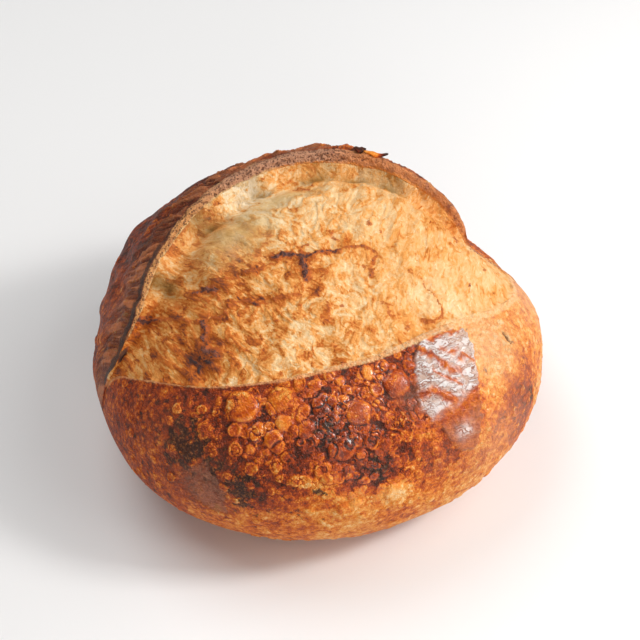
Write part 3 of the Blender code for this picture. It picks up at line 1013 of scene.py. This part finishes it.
mottling, nodes, start, end = new_group(
    "Mottling",
    {"Place": ("Vector", None), "Size": ("Float", 5.0), "Strength": ("Float", 0.1), "Detail": ("Float", 2.0)},
    "Value", "Float",
)
per_mm = nodes.add("Math", {0: 1.0, 1: start.outputs["Size"]}, operation="DIVIDE").outputs[0]
cloud = nodes.add("TexNoise", {"Vector": start.outputs["Place"], "Scale": per_mm,
                               "Detail": start.outputs["Detail"], "Roughness": 0.6}).outputs["Fac"]
centred = nodes.add("Math", {0: cloud, 1: 0.5}, operation="SUBTRACT").outputs[0]
mottling.links.new(nodes.times(centred, 4.0, start.outputs["Strength"]), end.inputs["Value"])

fine_grain, nodes, start, end = new_group(
    "Fine grain", {"Place": ("Vector", None), "Size": ("Float", 1.0), "Pits": ("Float", 0.3)},
    "Height", "Float",
)
per_mm = nodes.add("Math", {0: 1.0, 1: start.outputs["Size"]}, operation="DIVIDE").outputs[0]
grain = nodes.add("TexNoise", {"Vector": start.outputs["Place"], "Scale": per_mm, "Detail": 3.0,
                               "Roughness": 0.65}).outputs["Fac"]
cells = nodes.add("TexVoronoi", {"Vector": start.outputs["Place"], "Scale": per_mm,
                                 "Randomness": 1.0}).outputs["Distance"]
pits = nodes.times(nodes.between(cells, 0.35, 0.05), start.outputs["Pits"])
height = nodes.add("Math", {0: grain, 1: pits}, operation="SUBTRACT").outputs[0]
fine_grain.links.new(height, end.inputs["Height"])
print("shared groups:", ", ".join(group.name for group in bpy.data.node_groups))

# %% [markdown]
# ## One material for crust, crumb and ear
# The loaf is one skin, so one material lays its finishes over each other and the stored measures say
# where. Noise shifts each border a little, so that it looks torn and not masked. The crust comes first:
# its level of browning, lighter on blisters, runs through the Browning group. Painted shade darkens the
# creases and seams between blisters; painted highlights lighten bubble tops, blister feet and glinting flecks.
# %% Colour of the crust
baked = bpy.data.materials.new("baked_crust_and_crumb")
baked.use_nodes = True
n = Nodes(baked.node_tree)
here = n.stretch(n.add("TexCoord").outputs["Object"], (1000.0, 1000.0, 1000.0))
dome = n.measure("dome")
level = n.measure("baking")
darkish = n.between(level, 0.3, 0.6)
coarse_spots = n.group(mottling, Place=here, Size=9.0, Strength=0.15, Detail=3.0)
small_spots = n.group(mottling, Place=here, Size=2.6, Strength=0.20, Detail=3.0)
glazed = n.times(n.between(dome, 0.1, 0.45), n.between(n.measure("gloss"), 0.2, 0.5))
even = n.between(glazed, 0.0, 1.0, 1.0, 0.45)
small_spots = n.times(small_spots, even)
specks = n.times(even, n.between(n.group(mottling, Place=here, Size=1.5, Strength=0.5, Detail=3.0), 0.15, 0.5), darkish, -0.24)
pushed = n.add("VectorMath", {0: here, 1: n.add("TexNoise", {"Vector": here, "Scale": 0.35, "Detail": 2.0}).outputs[1]},
               operation="ADD").outputs[0]
bubbles = n.add("TexVoronoi", {"Vector": pushed, "Scale": 0.42, "Randomness": 1.0}).outputs["Distance"]
bubble_top = n.between(bubbles, 0.75, 0.1)
walls = n.add("TexVoronoi", {"Vector": pushed, "Scale": 0.42, "Randomness": 1.0},
              feature="DISTANCE_TO_EDGE").outputs["Distance"]
tiny = n.add("TexVoronoi", {"Vector": pushed, "Scale": 0.95, "Randomness": 1.0}).outputs["Distance"]
tiny_top = n.between(tiny, 0.55, 0.1)
bubble_share = n.between(n.group(mottling, Place=here, Size=6.0, Strength=0.5, Detail=2.0), -0.3, 0.5)
ringed = n.times(n.between(walls, 0.34, 0.16), n.between(walls, 0.04, 0.12), bubble_share)
dome_lift = n.times(n.between(dome, 0.05, 0.9), n.between(level, 0.2, 0.6, -0.05, -0.10))
# painted light and shade on the small bump bubbles: paler tops and rings, darker walls between them
bubble_light_and_shade = n.times(even, n.sum(n.times(bubble_share, n.sum(n.times(bubble_top, -0.14),
                                                              n.between(bubbles, 0.5, 0.85, 0.0, 0.11))),
                                  n.times(tiny_top, -0.07), n.between(tiny, 0.55, 0.9, 0.0, 0.07),
                                  n.times(ringed, -0.10), n.times(n.between(walls, 0.07, 0.01, 0.0, 0.13), darkish,
                                                                  bubble_share)))
glossy_here = n.between(n.measure("gloss"), 0.3, 0.8)
# painted glints: small pale flecks on the glossy dark crust stand in for highlights
painted_glints = n.times(n.between(n.group(mottling, Place=pushed, Size=1.3, Strength=0.5, Detail=2.0), 0.20, 0.42),
                    glossy_here, darkish, -0.30)
# painted shade: darker browning in the creases and seams between blisters, where shade falls
crease_shade = n.times(n.between(dome, 0.22, 0.02), darkish, n.sum(0.05, n.times(glossy_here, 0.15)))
crease_shade = n.sum(crease_shade, n.times(n.between(n.measure("seam"), 0.1, 0.8), darkish, n.sum(0.16, n.times(glossy_here, 0.10))))
# painted highlight: a paler ring at each blister's foot and where one blister stands above another
painted_lip_highlight = n.times(n.between(n.measure("lip"), 0.2, 0.9), darkish, -0.17)
behind_share = n.measure("behind")
long_spots = n.times(n.group(mottling, Place=n.stretch(n.measure("flow", "Vector"), (0.4, 1.0, 1.0)), Size=4.0, Strength=0.55,
                             Detail=4.0), behind_share, n.between(n.measure("edge_mm"), 34.0, 10.0, 0.15, 1.0))
crust_level = n.sum(level, coarse_spots, small_spots, specks, painted_glints, dome_lift, bubble_light_and_shade, crease_shade, painted_lip_highlight, long_spots)
crust = n.group(browning, Level=crust_level)
char_mask = n.between(n.sum(n.measure("char"), n.group(mottling, Place=here, Size=4.5, Strength=0.75, Detail=5.0),
                            n.times(dome, -0.35)), 0.40, 0.76)
char_grain = n.group(mottling, Place=here, Size=1.4, Strength=0.5, Detail=4.0)
char_lines = n.most(n.between(char_grain, 0.0, 0.40), n.times(ringed, n.between(small_spots, -0.05, 0.15)))
char_tone = n.mix(n.times(char_lines, 0.8), seen(40, 22, 12), seen(168, 102, 52))
crust = n.mix(n.times(char_mask, 0.92), crust, char_tone)

dust_share = n.times(n.measure("dust"), n.between(n.group(mottling, Place=here, Size=3.5, Strength=0.5,
                                                          Detail=4.0), -0.7, 0.6, 0.08, 0.68),
                     n.between(char_mask, 0.0, 1.0, 1.0, 0.4))
crust = n.mix(n.times(n.measure("flour"), n.between(coarse_spots, -0.2, 0.2, 0.35, 0.75)), crust, seen(238, 190, 148))
crust = n.mix(dust_share, crust, seen(160, 98, 74))
peeled_tone = n.mix(n.between(n.sum(small_spots, n.times(char_grain, 0.5)), -0.25, 0.25), seen(100, 58, 42),
                    seen(186, 120, 90))
crust = n.mix(n.times(n.measure("peeled"), 0.66), crust, peeled_tone)
print("nodes so far:", len(baked.node_tree.nodes))

# %% [markdown]
# ## The film of the bubble
# Its folds carry a painted whitish reflection broken by thin amber lines, except at its foot and along some folds,
# where the amber crust shows.
# %% Colour of the film and the rim
FILM_TURN = 0.47  # radians, the slope of the wrinkles
fold = n.measure("fold")
flow = n.measure("flow", "Vector")
up_mm = n.add("SeparateXYZ", {0: flow}).outputs[1]
amber = n.group(browning, Level=n.sum(0.47, n.times(small_spots, 0.8), n.times(fold, -0.10)))
dusty_foot = n.times(n.between(up_mm, 36.0, 27.0, 0.0, 0.75), n.between(n.sum(fold, small_spots), 0.2, 0.7, 0.6, 1.0))
unreflecting_film = n.mix(dusty_foot, amber, seen(164, 112, 88))
# painted reflection: a whitish grey tone broken by thin amber lines stands in for the window mirrored in the film
turned = n.add("VectorRotate", {"Vector": flow, "Angle": FILM_TURN}, rotation_type="Z_AXIS").outputs[0]
wrinkled = n.add("VectorMath", {0: n.add("TexNoise", {"Vector": turned, "Scale": 0.2, "Detail": 1.0}).outputs[1],
                                1: (5.0, 5.0, 0.0), 2: turned}, operation="MULTIPLY_ADD").outputs[0]
film_lines = n.group(mottling, Place=n.stretch(wrinkled, (0.28, 1.0, 1.0)), Size=1.9, Strength=0.5, Detail=2.0)
crossing = n.add("Math", {0: film_lines}, operation="ABSOLUTE").outputs[0]
thin_line = n.times(n.between(crossing, 0.09, 0.02), n.between(coarse_spots, -0.10, 0.05, 0.5, 1.0))
film_reflection_tone = n.mix(n.between(n.sum(film_lines, n.times(fold, 0.4)), -0.25, 0.25), seen(192, 161, 144), seen(226, 218, 215))
film_reflection_tone = n.mix(n.times(thin_line, 0.85), film_reflection_tone, seen(150, 78, 36))
film_colour = n.mix(n.measure("pale"), unreflecting_film, film_reflection_tone)
film_share = n.measure("film")
crust = n.mix(n.times(film_share, 0.9), crust, film_colour)
crust = n.mix(n.measure("slit"), crust, seen(96, 52, 36))

rim = n.measure("rim_mm")
along_mm = n.add("SeparateXYZ", {0: flow}).outputs[0]
ragged = n.group(mottling, Place=here, Size=2.2, Strength=0.45, Detail=2.0)
below_rim = n.times(n.sum(rim, ragged), -1.0)
band_width = n.between(along_mm, -90.0, 60.0, 0.8, 3.4)
outside_band = n.add("Math", {0: below_rim, 1: band_width}, operation="SUBTRACT").outputs[0]
band = n.times(n.between(outside_band, 0.5, -0.5), n.between(rim, 2.5, 1.0), n.between(n.measure("crumb"), 0.9, 0.3))
speckle = n.group(mottling, Place=here, Size=1.6, Strength=0.26, Detail=3.0)
band_level = n.sum(n.between(along_mm, -80.0, 40.0, 0.30, 0.10), speckle)
band_tone = n.mix(0.35, n.group(browning, Level=band_level), seen(236, 190, 150))
crust = n.mix(n.times(band, 0.8), crust, band_tone)
print("nodes so far:", len(baked.node_tree.nodes))

# %% [markdown]
# ## Colour of the opened crumb
# Cream in the folds, gold on the crests, and orange to brown where it toasted. The streaks follow the
# stretch of the crumb, so their noise is drawn out along the stored flow.
# %% Colour of the crumb
TOASTING_STOPS = [
    (0.00, seen(242, 222, 190)), (0.22, seen(235, 199, 147)), (0.42, seen(227, 156, 77)),
    (0.60, seen(196, 102, 22)), (0.76, seen(148, 70, 22)), (0.90, seen(100, 52, 34)),
    (1.00, seen(62, 42, 40)),
]
wander = n.add("TexNoise", {"Vector": flow, "Scale": 0.12, "Detail": 2.0}).outputs[1]
curled_flow = n.add("VectorMath", {0: wander, 1: (9.0, 9.0, 9.0), 2: flow}, operation="MULTIPLY_ADD").outputs[0]
calm = n.between(along_mm, -30.0, 50.0, 1.0, 0.4)
streaks = n.group(mottling, Place=n.stretch(curled_flow, (1.0, 0.7, 1.0)), Size=9.0, Strength=0.5, Detail=4.0)
streaks = n.between(streaks, -0.02, 0.18, -0.07, 0.11)
patches = n.group(mottling, Place=here, Size=9.0, Strength=0.08, Detail=2.0)
flecks = n.group(mottling, Place=n.stretch(curled_flow, (1.0, 0.75, 1.0)), Size=1.7, Strength=0.12, Detail=2.0)
marks = n.group(mottling, Place=n.stretch(curled_flow, (1.0, 0.5, 1.0)), Size=3.2, Strength=0.5, Detail=3.0)
marks = n.times(n.between(marks, 0.24, 0.42, 0.0, 0.24), n.between(along_mm, -20.0, 45.0, 1.0, 0.7))
chips = n.group(mottling, Place=n.stretch(curled_flow, (1.0, 0.8, -1.0)), Size=2.4, Strength=0.5, Detail=2.0)
chips = n.between(chips, 0.18, 0.40, 0.0, -0.13)
pull = n.add("VectorMath", {0: n.add("TexNoise", {"Vector": flow, "Scale": 0.13, "Detail": 1.0}).outputs[1],
                            1: (9.0, 9.0, 9.0), 2: n.stretch(flow, (1.0, 0.6, 1.0))},
             operation="MULTIPLY_ADD").outputs[0]
cells = n.add("TexVoronoi", {"Vector": pull, "Scale": 0.085}, feature="DISTANCE_TO_EDGE").outputs["Distance"]
torn_here = n.between(n.group(mottling, Place=here, Size=10.0, Strength=0.5, Detail=1.0), 0.04, 0.20)
small_tears = n.times(n.between(cells, 0.11, 0.01), torn_here, 0.14)
crests = n.between(n.measure("crest"), 0.2, 0.8, -0.08, 0.10)
mottles = n.sum(n.times(n.sum(streaks, patches, crests), calm), n.times(flecks, n.between(calm, 0.4, 1.0, 0.7, 1.0)))
crumb_level = n.sum(n.measure("toast"), mottles, marks, chips, small_tears)
crumb = n.ramp(crumb_level, TOASTING_STOPS)
clear = n.mix(n.between(n.group(mottling, Place=here, Size=7.0, Strength=0.5, Detail=3.0), -0.5, 0.6),
              seen(200, 156, 88), seen(234, 203, 146))
threads = n.group(mottling, Place=n.stretch(curled_flow, (1.0, 0.3, 1.0)), Size=3.0, Strength=0.5, Detail=3.0)
clear = n.mix(n.between(threads, 0.15, 0.55, 0.0, 0.7), clear, seen(238, 220, 182))
crumb = n.mix(n.times(n.measure("glassy"), 0.82), crumb, clear)
# painted shade under the ear's lip, mixed into the crumb colour
crumb = n.mix(n.times(n.measure("ear_shadow"), 0.85), crumb, seen(120, 88, 34))
scorch = n.measure("scorch")
bristle = n.times(n.group(mottling, Place=here, Size=1.4, Strength=0.30, Detail=2.0), n.between(scorch, 0.02, 0.2))
torn = n.sum(scorch, bristle)
crumb = n.mix(n.between(torn, 0.10, 0.40, 0.0, 0.85), crumb, seen(178, 88, 30))
scab_tone = n.mix(n.between(flecks, -0.1, 0.12), seen(56, 36, 34), seen(132, 80, 66))
crumb = n.mix(n.between(torn, 0.46, 0.72), crumb, scab_tone)
print("nodes so far:", len(baked.node_tree.nodes))

# %% [markdown]
# ## Colour of the ear
# The torn face of the ear is dusty pink, with painted shade in its pores, more golden at the right, and
# orange at its foot. The outer edge behind it is charred along the left half.
# %% Colour of the ear
edge = n.measure("edge_mm")
face_share = n.measure("face_share")
face_tone = n.mix(n.between(along_mm, -60.0, -20.0), seen(206, 144, 86), seen(188, 136, 104))
face_tone = n.mix(n.between(along_mm, 22.0, 48.0, 0.0, 0.85), face_tone, seen(208, 128, 70))
dusky = n.between(n.group(mottling, Place=here, Size=3.4, Strength=0.5, Detail=4.0), -0.1, 0.6, 0.0, 0.70)
face_tone = n.mix(dusky, face_tone, seen(136, 86, 64))
seared = n.group(mottling, Place=n.stretch(flow, (0.5, 1.0, 1.0)), Size=5.0, Strength=0.5, Detail=3.0)
face_tone = n.mix(n.times(n.between(seared, 0.05, 0.5, 0.0, 0.7), n.between(along_mm, 10.0, 40.0)), face_tone,
                  seen(128, 72, 58))
foot = n.sum(face_share, n.group(mottling, Place=here, Size=3.0, Strength=0.22, Detail=3.0))
foot_tone = n.mix(n.between(along_mm, -15.0, 10.0), seen(232, 190, 130), seen(218, 134, 56))
face_tone = n.mix(n.between(foot, 0.72, 1.0, 0.0, 0.9), face_tone, foot_tone)
holes = n.add("TexVoronoi", {"Vector": here, "Scale": 0.75, "Randomness": 1.0}).outputs["Distance"]
open_hole = n.times(n.between(holes, 0.42, 0.20), n.between(along_mm, 50.0, 25.0, 0.15, 1.0),
                    n.between(face_share, 1.0, 0.7))
# painted shade: the pores and open holes of the face are darkened, as shade falls in them
shaded_pores = n.most(n.times(n.between(n.measure("pore"), 0.3, 0.9), 0.6), n.times(open_hole, 0.9))
face_tone = n.mix(n.times(shaded_pores, 0.9), face_tone, seen(80, 48, 38))
edge_rough = n.sum(edge, n.group(mottling, Place=here, Size=4.0, Strength=1.2, Detail=2.0))
charred = n.times(n.between(edge_rough, 4.5, 2.6), n.between(along_mm, 60.0, 0.0, 0.35, 1.0), n.measure("behind"))
layer_tone = n.mix(n.between(n.sum(n.measure("flake"), n.times(small_spots, 1.2), n.times(long_spots, 0.6)), 0.1, 1.0),
                   seen(98, 46, 24), seen(214, 130, 80))
layer_share = n.times(n.measure("behind"), n.between(edge, 34.0, 8.0, 0.0, 0.75),
                      n.between(along_mm, 50.0, 10.0, 0.3, 1.0))
crust = n.mix(layer_share, crust, layer_tone)
crust = n.mix(n.times(charred, 0.85), crust, seen(58, 44, 38))

is_crumb = n.between(n.sum(n.measure("crumb"), n.group(mottling, Place=here, Size=1.5, Strength=0.1,
                                                        Detail=2.0)), 0.35, 0.65)
colour = n.mix(is_crumb, crust, crumb)
colour = n.mix(n.between(n.measure("face"), 0.3, 0.7), colour, face_tone)
print("nodes so far:", len(baked.node_tree.nodes))

# %% [markdown]
# ## Gloss and fine relief
# Where sugars melted, the crust shines: the film is the smoothest, the domes next. Dust and crumb are
# dull. Relief too small for the mesh is bump, under a millimetre deep.
# %% Gloss, bump and the shader
shine = n.times(n.measure("gloss"), n.rest(n.times(dust_share, 0.7)), n.rest(is_crumb))
roughness = n.between(shine, 0.0, 0.9, 0.52, 0.20)
roughness = n.sum(roughness, n.times(film_share, 0.08), n.group(mottling, Place=here, Size=2.0,
                                                                Strength=0.05, Detail=2.0))
roughness = n.sum(roughness, n.times(n.between(dome, 0.30, 0.05), glossy_here, n.rest(film_share), 0.22))
roughness = n.sum(roughness, n.times(is_crumb, 0.06), n.times(n.measure("glassy"), is_crumb, -0.22))
grain_height = n.group(fine_grain, Place=here, Size=1.1, Pits=0.35)
strand_height = n.group(fine_grain, Place=n.stretch(flow, (1.0, 0.5, 1.0)), Size=1.6, Pits=0.15)
small_height = n.times(n.group(mottling, Place=here, Size=0.9, Strength=0.2, Detail=2.0), even)
bubble_height = n.times(n.sum(n.times(bubble_top, bubble_share, 1.4), n.times(tiny_top, 0.8)), even,
                        n.rest(is_crumb), n.rest(film_share))
height = n.sum(n.times(grain_height, n.rest(n.times(shine, 0.8)), even, n.between(is_crumb, 0.0, 1.0, 1.0, 0.6)),
               n.times(strand_height, is_crumb, 0.3), small_height, n.times(small_tears, is_crumb, -1.5),
               bubble_height, n.times(film_lines, film_share, 0.8), n.times(thin_line, film_share, -0.7), n.times(shaded_pores, n.measure("face"), -1.0),
               n.times(flecks, is_crumb, 0.4))
coat = n.times(n.between(shine, 0.2, 0.8, 0.0, 0.34), n.between(dome, 0.05, 0.35, 0.25, 1.0), n.rest(film_share))
coat = n.sum(coat, n.times(film_share, 0.07))
bump = n.add("Bump", {"Height": height, "Strength": 0.7, "Distance": 0.0009})
skin_shader = n.add("BsdfPrincipled", {
    "Base Color": colour, "Roughness": roughness, "Normal": bump.outputs[0], "Specular IOR Level": 0.3,
    "Coat Weight": coat, "Coat Roughness": 0.12, "Coat IOR": 1.6,
})
n.add("OutputMaterial", {"Surface": skin_shader.outputs[0]})
loaf.data.materials.append(baked)
print("nodes in the loaf's material:", len(baked.node_tree.nodes))

# %% [markdown]
# ## Two flakes on the ear
# Two thin scraps of crust stand loose on top of the ear. Each starts as a box, is cut into small faces,
# drawn to a ragged leaf, bent, and smoothed by a Subdivision Surface modifier. The box is drawn flat at
# the origin and then set on the ear, so the finished piece's place is in its mesh.
# %% Flakes
FLAKE_COS, FLAKE_SIN = math.cos(math.radians(35.0)), math.sin(math.radians(35.0))


def crust_flake(name, length, width, thick, start, finish, lift, levels_of_baking):
    """A curled scrap of crust from one place (along, around) on the ear towards another, its far side raised."""
    bpy.ops.object.select_all(action="DESELECT")
    bpy.ops.mesh.primitive_cube_add(size=1.0, location=(0.0, 0.0, 0.0))
    flake_piece = bpy.context.object
    flake_piece.name = flake_piece.data.name = name
    bpy.ops.object.mode_set(mode="EDIT")
    bpy.ops.mesh.select_all(action="SELECT")
    bpy.ops.transform.resize(value=(length, width, thick))
    bpy.ops.mesh.subdivide(number_cuts=7)
    bpy.ops.object.mode_set(mode="OBJECT")
    flat = points_of(flake_piece.data)
    x, y = flat[:, 0] / length + 0.5, flat[:, 1]
    leaf = np.sqrt(np.clip(1.0 - np.abs(2.0 * x - 1.0) ** 3, 0.05, 1.0))
    ragged = 0.8 + 0.8 * noise(flat * (1.0, 0.0, 0.0) + np.sign(y)[:, None] * 7.0, 2.2, 81, 2)
    flat[:, 1] = y * leaf * ragged
    flat[:, 2] = flat[:, 2] * (0.5 + 0.5 * leaf) + lift * x**3 + 1.1 * noise(flat, 4.0, 83)
    first, last = (np.array(on_skin(*place)) / MM for place in (start, finish))
    way = (last - first) / np.linalg.norm(last - first)
    rise = (first + last) / 2.0 - CORE / MM
    rise -= way * (rise @ way)
    rise /= np.linalg.norm(rise)
    side = np.cross(rise, way)
    side, rise = side * FLAKE_COS + rise * FLAKE_SIN, rise * FLAKE_COS - side * FLAKE_SIN
    first = first + rise * thick
    turned = first + (flat[:, :1] + length / 2.0) * way + flat[:, 1:2] * side + flat[:, 2:3] * rise
    flake_piece.data.vertices.foreach_set("co", (turned * MM).astype(np.float32).ravel())
    flake_piece.data.update()
    apply_modifier(flake_piece, "SUBSURF", levels=1, render_levels=1)
    low, high = levels_of_baking
    far = (points_of(flake_piece.data) / MM - first) @ way / length
    store(flake_piece.data, "baking", low + (high - low) * step(far, 0.45, 0.95))
    bpy.ops.object.shade_smooth()
    return flake_piece


scorched = bpy.data.materials.new("scorched_flake")
scorched.use_nodes = True
m = Nodes(scorched.node_tree)
spot_mm = m.stretch(m.add("TexCoord").outputs["Object"], (1000.0, 1000.0, 1000.0))
tone = m.group(browning, Level=m.sum(m.measure("baking"), m.group(mottling, Place=spot_mm, Size=1.6, Strength=0.18,
                                                                 Detail=3.0)))
roughened = m.add("Bump", {"Height": m.group(fine_grain, Place=spot_mm, Size=0.9, Pits=0.2), "Strength": 0.6,
                           "Distance": 0.0005})
crisp = m.add("BsdfPrincipled", {"Base Color": tone, "Roughness": 0.5, "Normal": roughened.outputs[0],
                                 "Specular IOR Level": 0.3})
m.add("OutputMaterial", {"Surface": crisp.outputs[0]})
flakes = [
    crust_flake("ear_flake_dark", 6.6, 4.6, 0.7, (23.0, 127.4), (26.0, 126.2), 1.4, (0.80, 0.92)),
    crust_flake("ear_flake_long", 13.5, 4.0, 0.7, (25.6, 126.2), (31.2, 122.0), 2.0, (0.28, 0.84)),
]
for piece in flakes:
    piece.data.materials.append(scorched)
    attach(piece, "root")
print("flakes:", [(piece.name, len(piece.data.polygons)) for piece in flakes])

# %% [markdown]
# ## Floor, light and camera
# A white table, a large soft window at the right and front, a broad sky, and a camera that looks down on
# the loaf from its front left, far enough to keep it undistorted.
# %% Floor
bpy.ops.object.select_all(action="DESELECT")
bpy.ops.mesh.primitive_plane_add(size=6.0, location=(0.0, 0.0, -0.15 * MM))
floor = bpy.context.object
floor.name = "floor"
bpy.ops.object.transform_apply(location=True, rotation=True, scale=True)
plaster = bpy.data.materials.new("pale_floor")
plaster.use_nodes = True
f = Nodes(plaster.node_tree)
place = f.stretch(f.add("TexCoord").outputs["Object"], (1000.0, 1000.0, 1000.0))
tint = f.mix(f.between(f.group(mottling, Place=place, Size=300.0, Strength=0.3, Detail=1.0), -0.5, 0.5),
             (0.86, 0.86, 0.86, 1.0), (0.88, 0.88, 0.88, 1.0))
matt = f.add("BsdfPrincipled", {"Base Color": tint, "Roughness": 0.8, "Specular IOR Level": 0.2})
f.add("OutputMaterial", {"Surface": matt.outputs[0]})
floor.data.materials.append(plaster)
print("floor laid at", round(-0.15, 2), "mm")

# %% Light
WINDOW_WAY = Vector((0.66, -0.36, 0.66)).normalized()
SKY_WAY = Vector((-0.25, 0.45, 0.86)).normalized()
FILL_WAY = Vector((-0.30, -0.90, 0.28)).normalized()


def soft_light(name, way, far, size, power, colour=(1.0, 1.0, 1.0)):
    """A square light that stands that far off in that direction and faces the loaf."""
    bpy.ops.object.select_all(action="DESELECT")
    bpy.ops.object.light_add(type="AREA", location=Vector(CORE) + way * far)
    lamp = bpy.context.object
    lamp.name = name
    lamp.rotation_euler = way.to_track_quat("Z", "Y").to_euler()
    lamp.data.shape = "SQUARE"
    lamp.data.size = size
    lamp.data.energy = power
    lamp.data.color = colour
    return lamp


soft_light("window", WINDOW_WAY, 1.1, 1.0, 6.6, (1.0, 0.98, 0.96))
soft_light("window_core", WINDOW_WAY, 1.05, 0.20, 5.6, (1.0, 0.98, 0.96))
soft_light("front_fill", FILL_WAY, 1.4, 0.9, 5.6, (1.0, 0.97, 0.93))
soft_light("ceiling", SKY_WAY, 1.6, 1.2, 12.0)
world = bpy.data.worlds.new("sky")
world.use_nodes = True
world.node_tree.nodes["Background"].inputs["Color"].default_value = (1.0, 1.0, 1.0, 1.0)
world.node_tree.nodes["Background"].inputs["Strength"].default_value = 0.15
bpy.context.scene.world = world
bpy.context.scene.view_settings.view_transform = "Standard"
print("lights: window and ceiling")

# %% Camera
TURN, TILT, FAR = math.radians(-21.0), math.radians(46.5), 0.8
LENS, SENSOR = 88.06, 36.0
back = Vector((math.sin(TURN) * math.cos(TILT), -math.cos(TURN) * math.cos(TILT), math.sin(TILT)))
right = Vector((math.cos(TURN), math.sin(TURN), 0.0))
up = back.cross(right)
target = Vector(CORE) + up * 16.05 * MM + right * 0.5 * MM
lens = bpy.data.cameras.new("view")
lens.lens, lens.sensor_width = LENS, SENSOR
camera = bpy.data.objects.new("view", lens)
bpy.context.scene.collection.objects.link(camera)
camera.location = target + back * FAR
camera.rotation_euler = back.to_track_quat("Z", "Y").to_euler()
bpy.context.scene.camera = camera
print("camera at", [round(v, 3) for v in camera.location])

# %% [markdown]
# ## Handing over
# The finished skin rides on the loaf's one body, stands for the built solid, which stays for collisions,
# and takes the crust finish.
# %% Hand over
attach(loaf, "root")
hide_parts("loaf")
